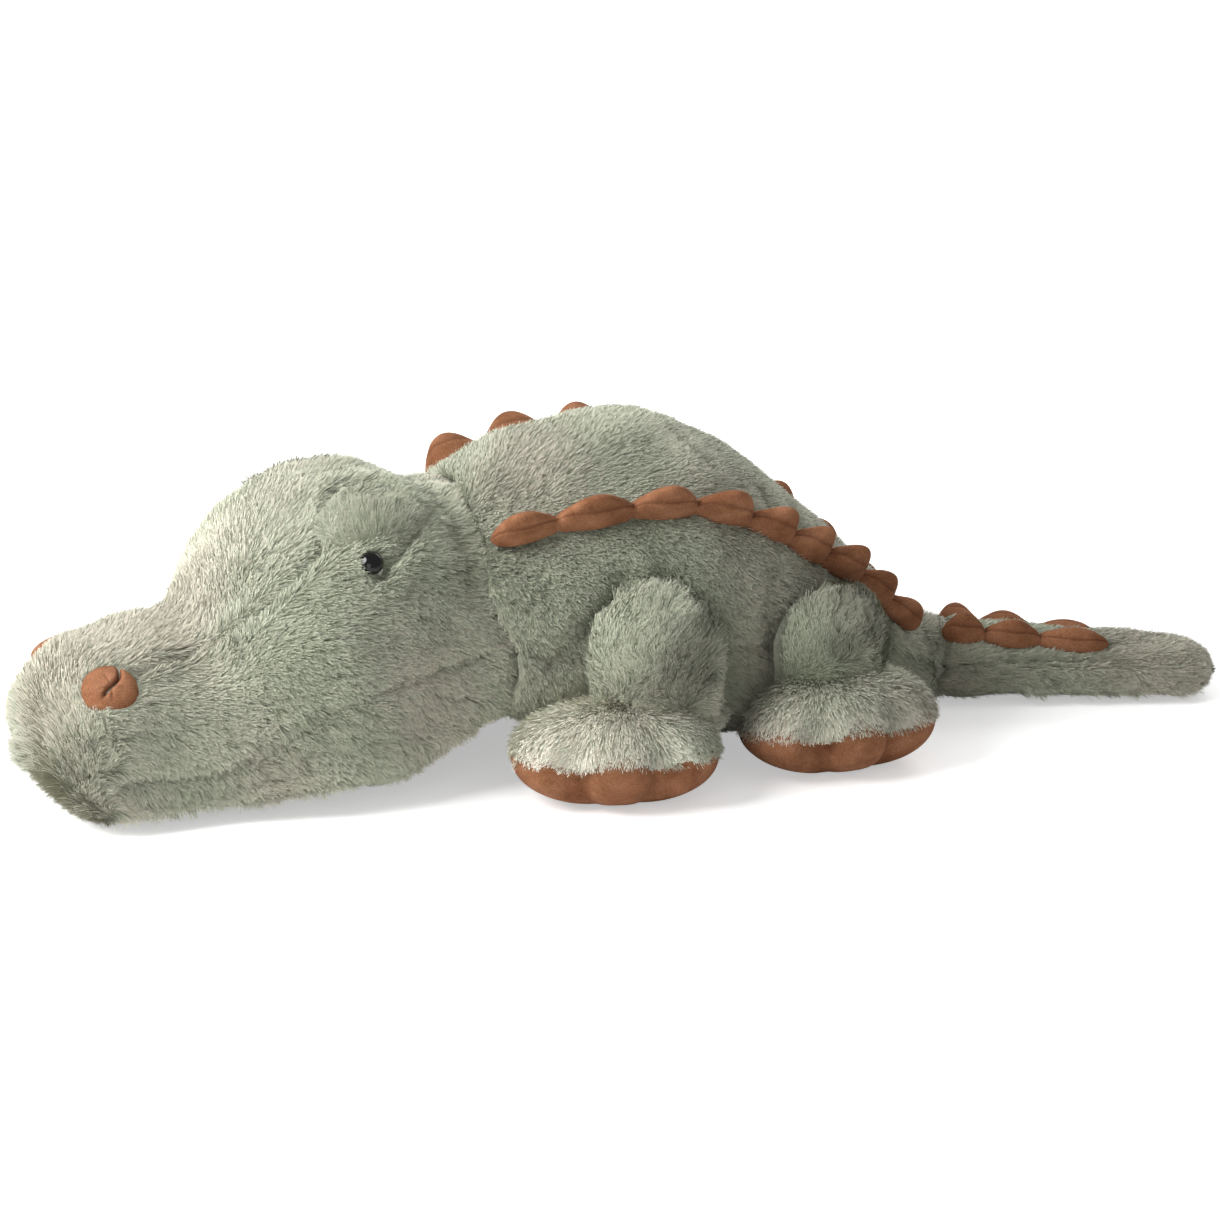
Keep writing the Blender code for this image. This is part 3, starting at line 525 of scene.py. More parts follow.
def fur(name, body, skin, style, fields, material):
    """Strands of pile: each a tapering blade that bends over. Its root is a scattered spot,
    and it runs along the normal raised by the lift and along the combed way. Tufts pull the
    tips of neighbouring strands together. A calm pile has less play in all of this."""
    rng = np.random.default_rng(style["seed"])
    count = style["count"]
    spots = scatter(skin, fields["density"], count, rng)
    root = read(skin.points, spots)
    normal = unit(read(skin.normals, spots))
    comb, length, lift, tint, calm = (
        read(fields[key], spots) for key in ("comb", "length", "lift", "tint", "calm"))
    rough = 1.0 - calm
    comb = unit(comb - normal * dots(comb, normal))
    side = np.cross(normal, comb)
    big_centre, big_key = tufts(root, style["tuft"])
    small_centre, small_key = tufts(root, style["lock"])
    big_luck = [cell_noise(big_key, channel) for channel in (4, 5, 6)]
    small_luck = [cell_noise(small_key, channel) for channel in (8, 9, 10, 11)]
    veer = (big_luck[0] + 0.8 * small_luck[0] - 0.9) * style["veer"] * rough
    veer = veer + rng.normal(size=count) * style["stray"] * (0.5 + 0.5 * rough)
    comb = comb * np.cos(veer)[:, None] + side * np.sin(veer)[:, None]
    lift = lift + (big_luck[1] + small_luck[1] - 1.0) * style["rise_play"] * rough
    lift = np.clip(lift + rng.normal(size=count) * style["rise_stray"],
                   style["least_rise"], style["most_rise"])
    length = length * (1.0 + (small_luck[2] - 0.5) * style["length_play"] * rough
                       + np.clip(rng.normal(size=count), -2.0, 1.4) * style["length_stray"])
    half_length = (0.5 * np.maximum(length, style["least"]))[:, None]
    tip = root
    for turn in (style["base_rise"], -style["tip_fall"]):
        way = unit(normal * np.sin(lift + turn)[:, None] + comb * np.cos(lift + turn)[:, None])
        tip = tip + way * half_length
    for centre, pull in ((big_centre, style["big_pull"]),
                         (small_centre, style["pull"] * (0.5 + small_luck[3]))):
        inward = centre - root
        inward = inward - normal * dots(inward, normal)
        tip = tip + inward * (pull * (0.3 + 0.7 * rough))[:, None]
    lowest = FLOOR_GAP + FLOOR_SPREAD * rng.random((2, count))[1]
    tip[:, 2] = np.maximum(tip[:, 2], lowest)
    way = unit(tip - root)
    flat = unit(np.cross(way, normal))
    edge = unit(np.cross(flat, way))
    roll = rng.normal(size=count) * style["roll"]
    flat = flat * np.cos(roll)[:, None] + edge * np.sin(roll)[:, None]
    half = 0.5 * style["width"] * (0.75 + 0.5 * rng.random(count))
    big_shade, small_shade = style["shade_play"]
    shade = 0.5 + 0.5 * tint + ((big_luck[2] - 0.5) * big_shade
                                + (small_luck[3] - 0.5) * small_shade) * rough
    still, moved = style["shade_stray"]
    shade = np.clip(shade + rng.normal(size=count) * (still + moved * rough), 0.02, 0.97)
    warmth = read(fields["warmth"], spots) + rng.normal(size=count) * style["warmth_stray"]
    band = np.clip(np.floor(warmth * BANDS), 0, BANDS - 1)
    facing = unit(normal + 0.20 * edge * np.sign(dots(edge, normal)) + 0.10 * flat
                  * rng.normal(size=count)[:, None])
    whole = max(1, math.ceil(count / PIECE_STRANDS))
    order = rng.permutation(count)
    for index, part in enumerate(np.array_split(order, whole)):
        label = name if whole == 1 else "%s_%d" % (name, index + 1)
        piece = strand_object(label, root[part], tip[part], flat[part] * half[part, None],
                              facing[part], shade[part], band[part], style["blunt"])
        piece.data.materials.append(material)
        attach(piece, body)


def strand_object(name, root, tip, flat, facing, shade, band, blunt):
    """Blades as one mesh of triangles. A pointed blade is wide at its root, and a blunt one
    is wide at its tip. The map's first value is the strand's shade. Its second runs from
    root to tip within one of a few bands, which go from cool to warm."""
    count = len(root)
    blunted = np.arange(count) < blunt * count
    wide = np.where(blunted[:, None], tip, root)
    lone = np.where(blunted[:, None], root, tip)
    sign = np.where(blunted, -1.0, 1.0)[:, None]
    vertices = np.stack([wide - sign * flat, wide + sign * flat, lone], axis=1)
    faces = np.arange(count * 3).reshape(count, 3)
    item = mesh_of(name, vertices.reshape(-1, 3), faces)
    mesh = item.data
    rise = np.where(blunted[:, None], np.array((1.0, 1.0, 0.0)), np.array((0.0, 0.0, 1.0)))
    across = shade[:, None] + 0.01 * np.array((0.0, 1.0, 0.5))
    upward = (band[:, None] + 0.04 + 0.92 * rise) / BANDS
    values = np.stack([across, upward], axis=-1).astype(np.float32)
    layer = mesh.uv_layers.new(name="OFBake")
    layer.data.foreach_set("uv", values.ravel())
    mesh.normals_split_custom_set_from_vertices(np.repeat(facing, 3, axis=0).astype(np.float32))
    return item


# ---------------------------------------------------------------- materials

def add_node(tree, kind, settings=(), links=()):
    """Add a node, give it its settings by name and link the listed outputs to its inputs."""
    node = tree.nodes.new(kind)
    for name, value in dict(settings).items():
        if isinstance(name, int) or name in node.inputs:
            node.inputs[name].default_value = value
        else:
            setattr(node, name, value)
    for name, socket in dict(links).items():
        tree.links.new(socket, node.inputs[name])
    return node


def new_material(name, **sockets):
    """Empty Principled material with constant values on its own sockets."""
    material = bpy.data.materials.new(name)
    material.use_nodes = True
    shader = material.node_tree.nodes["Principled BSDF"]
    for key, value in sockets.items():
        shader.inputs[key.replace("_", " ")].default_value = value
    return material, material.node_tree, shader


def set_ramp(node, stops):
    """Colour stops of a ramp: places with hex codes or linear colours."""
    ramp = node.color_ramp
    while len(ramp.elements) < len(stops):
        ramp.elements.new(0.5)
    for element, (place, code) in zip(ramp.elements, stops):
        element.position = place
        element.color = linear(code) if isinstance(code, str) else code


def fur_material(name, dark, light):
    """Faux fur, knitted acrylic pile: matt strands, dark at the root and pale at the tip.
    They vary from dark to light across the map and from cool to warm with its bands."""
    material, tree, shader = new_material(name, Roughness=0.92, Specular_IOR_Level=0.12,
                                          Sheen_Weight=0.15, Sheen_Roughness=0.6)
    chart = add_node(tree, "ShaderNodeUVMap", {"uv_map": "OFBake"})
    parts = add_node(tree, "ShaderNodeSeparateXYZ", links={0: chart.outputs[0]})
    rows = add_node(tree, "ShaderNodeMath", {"operation": "MULTIPLY", 1: float(BANDS)},
                    {0: parts.outputs[1]})
    rise = add_node(tree, "ShaderNodeMath", {"operation": "FRACT"}, {0: rows.outputs[0]})
    low = add_node(tree, "ShaderNodeValToRGB", links={0: rise.outputs[0]})
    set_ramp(low, dark)
    high = add_node(tree, "ShaderNodeValToRGB", links={0: rise.outputs[0]})
    set_ramp(high, light)
    hue = add_node(tree, "ShaderNodeValToRGB", links={0: parts.outputs[1]})
    set_ramp(hue, ((0.125, "#F5FFF0"), (0.375, "#FAFFF6"), (0.625, "#FFFCF7"),
                   (0.875, "#FFF5F1")))
    mix = add_node(tree, "ShaderNodeMix", {"data_type": "RGBA"},
                   {0: parts.outputs[0], 6: low.outputs[0], 7: high.outputs[0]})
    tinted = add_node(tree, "ShaderNodeMix",
                      {"data_type": "RGBA", "blend_type": "MULTIPLY", 0: 1.0},
                      {6: mix.outputs[2], 7: hue.outputs[0]})
    tree.links.new(tinted.outputs[2], shader.inputs["Base Color"])
    return material


def backing_material():
    """Knitted backing of the pile, seen only as the dark between the strands."""
    material, tree, shader = new_material("knitted_backing", Roughness=0.95)
    where = add_node(tree, "ShaderNodeTexCoord")
    loops = add_node(tree, "ShaderNodeTexNoise", {"Scale": 400.0, "Detail": 2.0},
                     {"Vector": where.outputs["Object"]})
    ramp = add_node(tree, "ShaderNodeValToRGB", links={0: loops.outputs[0]})
    set_ramp(ramp, ((0.3, "#7E7F70"), (0.7, "#949586")))
    tree.links.new(ramp.outputs[0], shader.inputs["Base Color"])
    return material


def suede_material(colour):
    """Micro suede: a short brushed nap, patchy where it lies different ways, dull all over.
    Its seam attribute darkens it with painted shade along seams and pinches.
    """
    material, tree, shader = new_material("brushed_suede", Roughness=0.95,
                                          Specular_IOR_Level=0.12, Sheen_Weight=0.12,
                                          Sheen_Roughness=0.45,
                                          Sheen_Tint=linear("#DDB090"))
    where = add_node(tree, "ShaderNodeTexCoord")
    patches = add_node(tree, "ShaderNodeTexNoise", {"Scale": 55.0, "Detail": 5.0,
                                                    "Roughness": 0.6},
                       {"Vector": where.outputs["Object"]})
    ramp = add_node(tree, "ShaderNodeValToRGB", links={0: patches.outputs[0]})
    set_ramp(ramp, ((0.30, "#82543A"), (0.52, colour), (0.72, "#B07C5D")))
    grain = add_node(tree, "ShaderNodeTexNoise", {"Scale": 1100.0, "Detail": 3.0,
                                                  "Roughness": 0.7},
                     {"Vector": where.outputs["Object"]})
    speck = add_node(tree, "ShaderNodeValToRGB", links={0: grain.outputs[0]})
    set_ramp(speck, ((0.35, "#B4B4B4"), (0.65, "#FFFFFF")))
    mix = add_node(tree, "ShaderNodeMix",
                   {"data_type": "RGBA", "blend_type": "MULTIPLY", 0: 0.75},
                   {6: ramp.outputs[0], 7: speck.outputs[0]})
    # painted shade: the seam attribute darkens the suede toward deep brown in its seams and
    # pinches
    seam = add_node(tree, "ShaderNodeAttribute", {"attribute_name": "seam"})
    seam_painted_shade = add_node(tree, "ShaderNodeMix", {"data_type": "RGBA", 7: linear("#4E2A1A")},
                    {0: seam.outputs["Fac"], 6: mix.outputs[2]})
    tree.links.new(seam_painted_shade.outputs[2], shader.inputs["Base Color"])
    bump = add_node(tree, "ShaderNodeBump", {"Strength": 0.35, "Distance": 0.0006},
                    {"Height": grain.outputs[0]})
    tree.links.new(bump.outputs[0], shader.inputs["Normal"])
    return material


MATERIALS = {}


def make_materials():
    """Every finish, once, by its slot."""
    chosen = settings()
    MATERIALS["sage_fur"] = fur_material(
        "sage_faux_fur",
        ((0.0, "#7B7C6C"), (0.45, "#97998A"), (1.0, "#B4B5A6")),
        ((0.0, "#929384"), (0.45, "#BDBDAE"), (1.0, chosen.fur_tips)))
    # painted light: the paws' fur is a paler copy of the sage fur, as if lit more
    MATERIALS["pale_paw_fur"] = fur_material(
        "pale_paw_faux_fur",
        ((0.0, "#8E8F7F"), (0.40, "#B1B2A3"), (1.0, "#CECEC0")),
        ((0.0, "#A2A294"), (0.40, "#CFCFC1"), (1.0, chosen.paw_tips)))
    MATERIALS["backing"] = backing_material()
    MATERIALS["rust_suede"] = suede_material(chosen.suede)
    # polished black plastic of a safety eye
    MATERIALS["black_gloss"] = new_material(
        "polished_black_plastic", Roughness=0.08, Base_Color=linear("#080707"),
        Specular_IOR_Level=0.45)[0]
    # moulded white plastic of the lock washers, hidden behind the fabric
    MATERIALS["white_plastic"] = new_material(
        "moulded_white_plastic", Roughness=0.5, Base_Color=linear("#E2E2DC"))[0]


# ---------------------------------------------------------------- skins

# each kind of pile: its length as a share of the usual pile, its lift in radians, the seeds
# of its fields and its strands, and its own changes to the style
PILES = {
    "head": {"length": 0.94, "lift": 0.66, "field_seed": 21, "strand_seed": 101,
             "style": {"pull": 0.30}},
    "body": {"length": 0.84, "lift": 0.68, "field_seed": 31, "strand_seed": 102,
             "style": {"tuft": 0.011, "lock": 0.0028, "veer": 0.5, "pull": 0.14}},
    "tail": {"length": 0.90, "lift": 0.50, "field_seed": 41, "strand_seed": 103, "style": {}},
    "leg": {"length": 0.90, "lift": 0.62, "field_seed": 61, "strand_seed": 111,
            "style": {"pull": 0.26}},
    "paw": {"length": 1.05, "lift": 0.48, "field_seed": 71, "strand_seed": 121,
            "style": {"tuft": 0.012, "lock": 0.0045, "veer": 0.6, "pull": 0.28,
                      "big_pull": 0.14}},
    "lid": {"length": 1.15, "lift": 0.46, "field_seed": 81, "strand_seed": 131,
            "style": {"veer": 0.9, "pull": 0.35}},
}
# strength and size of the waves in the pile's combed way, shade, hue and calm
DRIFT = {"comb": (0.22, 0.06), "tint": (0.35, 0.11), "fine_tint": (0.15, 0.03),
         "warmth": (0.26, 0.14), "calm": (0.25, 0.07)}


def drift(kind, points, seed):
    """Waves of one kind over the points."""
    strength, size = DRIFT[kind]
    return strength * waves(points, size, seed)


def base_fields(kind, skin, comb, near=0.0, away=0.0, order=0):
    """Fields that steer one kind of pile: the combed way, length, lift, density, tint, hue
    and calm. Near a crease the pile is shorter, darker with painted shade and leans away,
    and where it faces up it is paler with painted light. Underneath it is short and thin,
    and where the combed way is lost it stands up."""
    own = PILES[kind]
    seed = own["field_seed"] + order
    up, points = skin.normals[..., 2], skin.points
    wander = np.stack([drift("comb", points, seed + step) for step in range(3)], axis=-1)
    comb = comb - skin.normals * dots(comb, skin.normals)
    whorl = bell(np.linalg.norm(comb, axis=-1), 0.32)
    comb = unit(comb) + wander + 0.15 * away
    under = np.clip((-up - 0.55) / 0.3, 0.0, 1.0)
    tint = drift("tint", points, seed + 5) + drift("fine_tint", points, seed + 6)
    length = settings().pile_length * own["length"]
    return {
        "comb": comb,
        "length": length * (1.0 - 0.18 * near) * (1.0 - 0.45 * under),
        "lift": own["lift"] + 0.15 * near - 0.25 * under + 0.25 * whorl,
        "density": 1.0 - 0.70 * under,
        # painted shade near a crease, and painted light on the pile that faces up
        "tint": tint - 0.10 * near + 0.42 * np.clip(up, 0.0, 1.0),
        "warmth": 0.38 + drift("warmth", points, seed + 7),
        "calm": np.clip(0.30 + 0.55 * up + drift("calm", points, seed + 8), 0.0, 0.9)
                * (1.0 - 0.6 * near),
    }


def tipped_form(form, rows, tip_rows, columns, power, middle):
    """A form's sections, with their places and angles, drawn together over its tip."""
    share = form["tip"] / abs(form["length"])
    angles = np.linspace(0.0, TAU, columns, endpoint=False)
    places = np.concatenate([np.linspace(0.0, 1.0 - share, rows), end_curve(share, tip_rows)])
    ring = form_points(form, places[:, None], angles[None, :])
    ring = close_end(ring, places[:, None], share, power, form["height"] * middle)
    return ring, places, angles


def skin_of(points, places, angles):
    """Skin from rings with a place each, and with the same angles round each."""
    return Skin(points, *np.broadcast_arrays(places[:, None], angles[None, :]))


def head_skin(turns=22):
    """The head's sections, closed over the snout and swung round the neck axis behind."""
    ring, places, angles = tipped_form(HEAD, 84, 22, 176, 2.4, 0.24)
    behind = -0.4 * (np.arange(turns, 0, -1) / turns)
    return skin_of(np.concatenate([swing_end(ring[0], turns)[::-1], ring]),
                   np.concatenate([behind, places]), angles)


def body_skin(turns=16):
    """The body's sections, rounded in front and swung round the tail axis behind."""
    angles = np.linspace(0.0, TAU, 176, endpoint=False)
    share = BODY["tip"] / BODY["length"]
    front = 1.0 - end_curve(share, 16)[::-1]
    places = np.concatenate([front, np.linspace(share, 1.0, 104)])
    ring = form_points(BODY, places[:, None], angles[None, :])
    ring = close_end(ring, 1.0 - places[:, None], share, 2.0, BODY["height"] * 0.4)
    behind = 1.0 + 0.12 * np.arange(1, turns + 1) / turns
    return skin_of(np.concatenate([ring, swing_end(ring[-1], turns)]),
                   np.concatenate([places, behind]), angles)


def tail_skin(cap=12):
    """The tail's sections, closed at the tip, with its root closed by a flat section."""
    ring, places, angles = tipped_form(TAIL, 60, 14, 96, 2.0, 0.30)
    middle = np.array((0.0, 0.0, 0.45 * TAIL["height"]))
    shrink = np.linspace(0.0, 1.0, cap + 1)[:-1, None, None]
    return skin_of(np.concatenate([middle + (ring[0][None] - middle) * shrink, ring]),
                   np.concatenate([np.full(cap, -0.01), places]), angles)


def settings():
    """The toy's own settings."""
    return bpy.context.scene.plush_crocodile


def pile(kind, name, body, skin, fields, slot="sage_fur", order=0):
    """Fur of a piece, in the style of its kind."""
    own = PILES[kind]
    style = dict(STYLE, count=getattr(settings(), "strands_" + kind),
                 seed=own["strand_seed"] + order, **own["style"])
    fur(name, body, skin, style, fields, MATERIALS[slot])


def stuffed(name, points, body, node, slot="sage_fur", seam=None):
    """Closed piece with its filling, which rides on a body and stands for its CAD node. Its
    fabric is suede, or the backing that fur stands on."""
    finish = slot if slot == "rust_suede" else "backing"
    item = grid_object(name, points, MATERIALS[finish], seam)
    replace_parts(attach(item, body), node)


# places and angles of the face's pieces on the head, and their sizes
EYE_SPOT = (0.248, math.radians(44.0))
EYE_RADIUS = 0.0078
LID_SPOT = (0.212, math.radians(57.0) + 0.03)
LID_HALF = (0.031, 0.020)
NOSTRIL_SPOT = (0.847, math.radians(51.0))
NOSTRIL_RADIUS = 0.0185
# the pile's gaps round the eye and the nostril: spot, depth, radius, how much shorter the
# pile at the rim is and how far it leans away
FACE_GAPS = (((EYE_SPOT[0] - 0.006, EYE_SPOT[1] - 0.02), 0.004, 0.0090, 0.30, 0.5),
             (NOSTRIL_SPOT, 0.006, 0.0180, 0.45, 0.4))
GAP_EDGE = 0.001  # width of a gap's soft edge
# low swellings of the filling: height, size and seed of the waves
HEAD_LUMPS = ((0.0016, 0.05, 11), (0.0022, 0.10, 12))
BODY_LUMPS = ((0.0016, 0.06, 13), (0.0025, 0.12, 14))
TAIL_LUMPS = ((0.0010, 0.04, 15),)
# relief of the dome's front and of the bridge behind the snout: rise, place and width
HEAD_RELIEF = ((0.0040, 0.50, 0.05), (-0.0035, 0.63, 0.05))
SHOULDER_DROP = 0.009  # how far the head's back is rounded down toward the body
SNOUT_DRAW = 0.005  # how far the snout's end is drawn in
MUZZLE = 0.7  # the combing of the front begins at this place
# changes of the pile under the snout's front; its paler tint is painted light on the chin, which
# faces down into shade
CHIN = {"longer": 0.4, "lift": 0.20, "density": 1.3, "painted_light": 0.8, "rougher": 0.8,
        "forward": 2.2}
# changes at the top of the neck seam, among them painted shade, and the spread of these along
# the head
NAPE = {"rougher": 0.7, "painted_shade": 0.35, "spread": 0.10}
# changes on the line round an eyelid, among them painted shade in its crease; the line's half
# width, the reach in which it is drawn, and the share of the lid's size that is cleared below it
LID_LINE = {"painted_shade": 0.60, "shorter": 0.45, "half": 0.0030, "reach": 0.06, "cleared": 0.8}
FRONT_SPREAD = 0.045  # distance over which the front's combing grows to its full strength


def lumps(points, table):
    """Sum of smooth waves over the surface."""
    return sum(height * waves(points, size, seed) for height, size, seed in table)


def sideness(skin):
    """1 on a form's flanks, falling to 0 on its back and belly, as a column."""
    return np.clip(np.abs(np.cos(skin.angle)), 0.0, 1.0)[..., None]


def open_round(fields, points, middle, radius, short, lean):
    """Clear the pile from a round spot, and shorten its rim and lean it away."""
    off = points - middle
    distance = np.linalg.norm(off, axis=-1)
    rim = bell(distance - radius, radius * 0.45)
    fields["density"] *= np.clip((distance - radius) / GAP_EDGE, 0.0, 1.0)
    fields["length"] *= 1.0 - short * rim
    fields["comb"] = unit(fields["comb"]) + lean * rim[..., None] * unit(off)


class CROC_OT_head(bpy.types.Operator):
    """Head skin with its panel seams, and its pile"""

    bl_idname = "croc.head"
    bl_label = "Head"

    def execute(self, context):
        skin = head_skin()
        groove, near, away = crease_fields(skin.points, form_creases(HEAD, HEAD_CREASES))
        shoulder = np.clip(1.0 - skin.place / 0.20, 0.0, 1.0) ** 2 * np.clip(
            np.sin(skin.angle) * 1.4 + 0.3, 0.0, 1.0)
        upper = np.clip(1.6 * np.sin(skin.angle) - 0.6, 0.0, 1.0)
        dome = sum(rise * bell(skin.place - at, width) for rise, at, width in HEAD_RELIEF)
        skin.move(-groove + lumps(skin.points, HEAD_LUMPS) + dome * upper - INSET
                  - SHOULDER_DROP * shoulder
                  - SNOUT_DRAW * np.clip((skin.place - 0.88) / 0.12, 0.0, 1.0))
        comb, facing, chin = self.combing(skin)
        fields = base_fields("head", skin, comb, near, away)
        fields["length"] *= 1.0 + CHIN["longer"] * chin
        fields["lift"] += CHIN["lift"] * chin
        fields["density"] = np.maximum(fields["density"], CHIN["density"] * chin)
        # painted light: the chin, which faces down into shade, is made paler
        fields["tint"] += CHIN["painted_light"] * chin
        fields["calm"] = np.maximum(np.clip(fields["calm"] + 0.10, 0.0, 0.92),
                                    0.60 * facing[..., 0]) * (1.0 - CHIN["rougher"] * chin)
        for _, side in SIDES:
            self.line_lid(fields, skin.points, side)
            for (place, angle), depth, *gap in FACE_GAPS:
                middle = seat(HEAD, place, side_angle(side, angle), depth)[3]
                open_round(fields, skin.points, middle, *gap)
        fields["length"] *= np.clip(1.0 + 1.2 * skin.place, 0.6, 1.0)
        nape = bell(skin.place, NAPE["spread"]) * upper
        fields["calm"] *= 1.0 - NAPE["rougher"] * nape
        # painted shade at the top of the neck seam, where the head meets the body
        fields["tint"] -= NAPE["painted_shade"] * nape
        skin.place_in(head_frame)
        fields["comb"] = head_frame(fields["comb"], False)
        stuffed("head_skin", skin.points, "head", "head")
        pile("head", "head_pile", "head", skin, fields)
        return {"FINISHED"}

    def combing(self, skin):
        """The combed way, with how far the surface faces forward and is the front's chin.
        The pile runs back and down the sides, up over the snout's front from the floor, and
        forward under the chin."""
        back = np.array((1.0, 0.0, 0.0))
        forward = -skin.normals[..., 0:1]
        facing = np.clip((forward - 0.25) / 0.55, 0.0, 1.0) * (skin.place[..., None] > MUZZLE)
        fore = bell(skin.place - 1.0, 0.12)[..., None]
        lower = (skin.points[..., 2:3] < 0.045).astype(float)
        steep = np.clip(1.6 * forward, 0.0, 0.9)
        drop = (0.15 + 0.75 * sideness(skin) + 0.5 * lower) * (1.0 - 0.8 * fore) * (1.0 - steep)
        from_floor = skin.points * np.array((0.0, 1.0, 1.0)) + 0.004 * UP
        comb = (1.0 - facing) * (0.9 * back - UP * drop)
        comb = comb + facing * np.clip(from_floor / FRONT_SPREAD, -1.5, 1.5)
        chin = fore[..., 0] * np.clip(-1.6 * skin.normals[..., 2], 0.0, 1.0)
        return comb - CHIN["forward"] * chin[..., None] * back, facing, chin

    def line_lid(self, fields, points, side):
        """Darken the pile with painted shade on the line round an eyelid, shorten it there, and
        clear it below.
        """
        lid = seat(HEAD, LID_SPOT[0], side_angle(side, LID_SPOT[1]))
        apart = points - lid[3]
        around = np.hypot(apart @ lid[0] / LID_HALF[0], apart @ lid[1] / LID_HALF[1])
        beside = np.linalg.norm(apart, axis=-1) < LID_LINE["reach"]
        line = bell((around - 1.0) * 0.025, LID_LINE["half"]) * beside * np.where(
            apart[..., 2] > -0.004, 1.0, 0.3)
        # painted shade in the crease round the lid
        fields["tint"] -= LID_LINE["painted_shade"] * line
        fields["length"] *= 1.0 - LID_LINE["shorter"] * line
        fields["density"] *= ~((around < LID_LINE["cleared"]) & beside)


def part_pile(fields, skin, ridge):
    """Clear the pile from under a form's two ridge strips, and lean its rim over them."""
    swell = pod_swell(skin.place, ridge["borders"])
    half = RIDGE["half"] * (RIDGE["valley_half"] + (1.0 - RIDGE["valley_half"]) * swell)
    for side in (-1, 1):
        place = np.linspace(ridge["borders"][0], ridge["borders"][-1], ridge["steps"])
        line = form_points(ridge["form"], place, ridge_angle(ridge, side, place))
        distance, toward = nearest(skin.points, line)
        rim = bell(distance - half - 0.002, 0.004)
        fields["density"] *= np.clip((distance - half) / STRIP_EDGE, 0.0, 1.0)
        fields["comb"] = unit(fields["comb"]) + (ridge["lean"] - 0.5 * swell[..., None]) * rim[
            ..., None] * unit(toward)
        fields["length"] *= 1.0 - 0.25 * rim


FRONT_DRAW = 0.007  # how far the body's front is drawn in, and its top besides
FRONT_TOP_DRAW = 0.004
BACK_DROP = 0.010  # the head's rounded back, which the front is pressed onto, is this much
BACK_ROUNDING = 0.006  # lower and narrower than its section
NECK_COVER = 0.022  # pile this deep inside the neck seam is left out
# how much painted shade darkens the pile beside the head, round the legs and on the flanks
BODY_PAINTED_SHADE = (0.20, 0.45, 0.55)
TAIL_END_SHORTER = 0.32  # the pile is this much shorter at the body's end


class CROC_OT_body(bpy.types.Operator):
    """Body skin with its folds, and its pile"""

    bl_idname = "croc.body"
    bl_label = "Body"

    def execute(self, context):
        skin = body_skin()
        groove, near, away = crease_fields(skin.points, form_creases(BODY, BODY_CREASES))
        front = np.clip(1.0 - (skin.place - 0.05) / 0.17, 0.0, 1.0) ** 1.5
        top = np.clip(np.sin(skin.angle), 0.0, 1.0)
        skin.move(-groove + lumps(skin.points, BODY_LUMPS) - INSET
                  - front * (FRONT_DRAW + FRONT_TOP_DRAW * top))
        reach, rise = section_reach(HEAD, 0.0, skin.points[..., 2], BACK_DROP)
        radius = np.where(rise >= 1.0, 0.0, reach - BACK_ROUNDING * np.clip(rise, 0.0, 1.0))
        reach = np.sqrt(np.clip(radius ** 2 - skin.points[..., 1] ** 2, 0.0, None))
        along, limit = skin.points[..., 0], NECK_X + reach
        hidden = (along < limit - NECK_COVER) & (reach > 0.0)
        skin.press(0, np.maximum(along, np.where(reach > 0.0, limit, -1.0)), hidden)
        slope = sideness(skin)
        comb = np.array((1.0, 0.0, 0.0)) * (1.0 - 0.35 * slope) - UP * (0.10 + 0.80 * slope)
        fields = base_fields("body", skin, comb, near, away)
        fields["density"] *= ~hidden
        by_head = bell(skin.place - 0.12, 0.08) * slope[..., 0]
        by_legs = sum(self.leg_rim(skin, leg) for leg in LEGS.values())
        # painted shade beside the head, round the legs and on the flanks
        for part, painted_shade in zip((by_head, by_legs, slope[..., 0]), BODY_PAINTED_SHADE):
            fields["tint"] -= painted_shade * part
        fields["length"] *= 1.0 - 0.25 * np.clip(by_legs, 0.0, 1.0)
        fields["calm"] = np.clip(fields["calm"] + 0.18, 0.0, 0.95)
        fields["calm"] *= np.clip(1.0 - by_head - by_legs, 0.0, 1.0)
        fields["length"] *= 1.0 - TAIL_END_SHORTER * bell(skin.place - 1.0, 0.05)
        part_pile(fields, skin, RIDGES["body"])
        stuffed("body_skin", skin.points, "body", "body")
        pile("body", "body_pile", "body", skin, fields)
        return {"FINISHED"}

    @staticmethod
    def leg_rim(skin, leg):
        """How near the points are to the rim of a leg that lies against the body."""
        middle = 0.5 * leg["top"]
        apart = np.hypot((skin.points[..., 0] - leg["x"]) / (leg["radius"] + 0.006),
                         (skin.points[..., 2] - middle) / (middle + 0.008))
        return bell((apart - 1.0) * leg["radius"], 0.011) * (np.cos(skin.angle) ** 2)


ROOT_DRAW = 0.005  # the tail's root reaches this far into the body's turned end
ROOT_COVER = 0.008  # pile this deep inside the root seam is left out
# painted shade: the tail's whole pile is darkened
TAIL_PAINTED_SHADE = 0.35


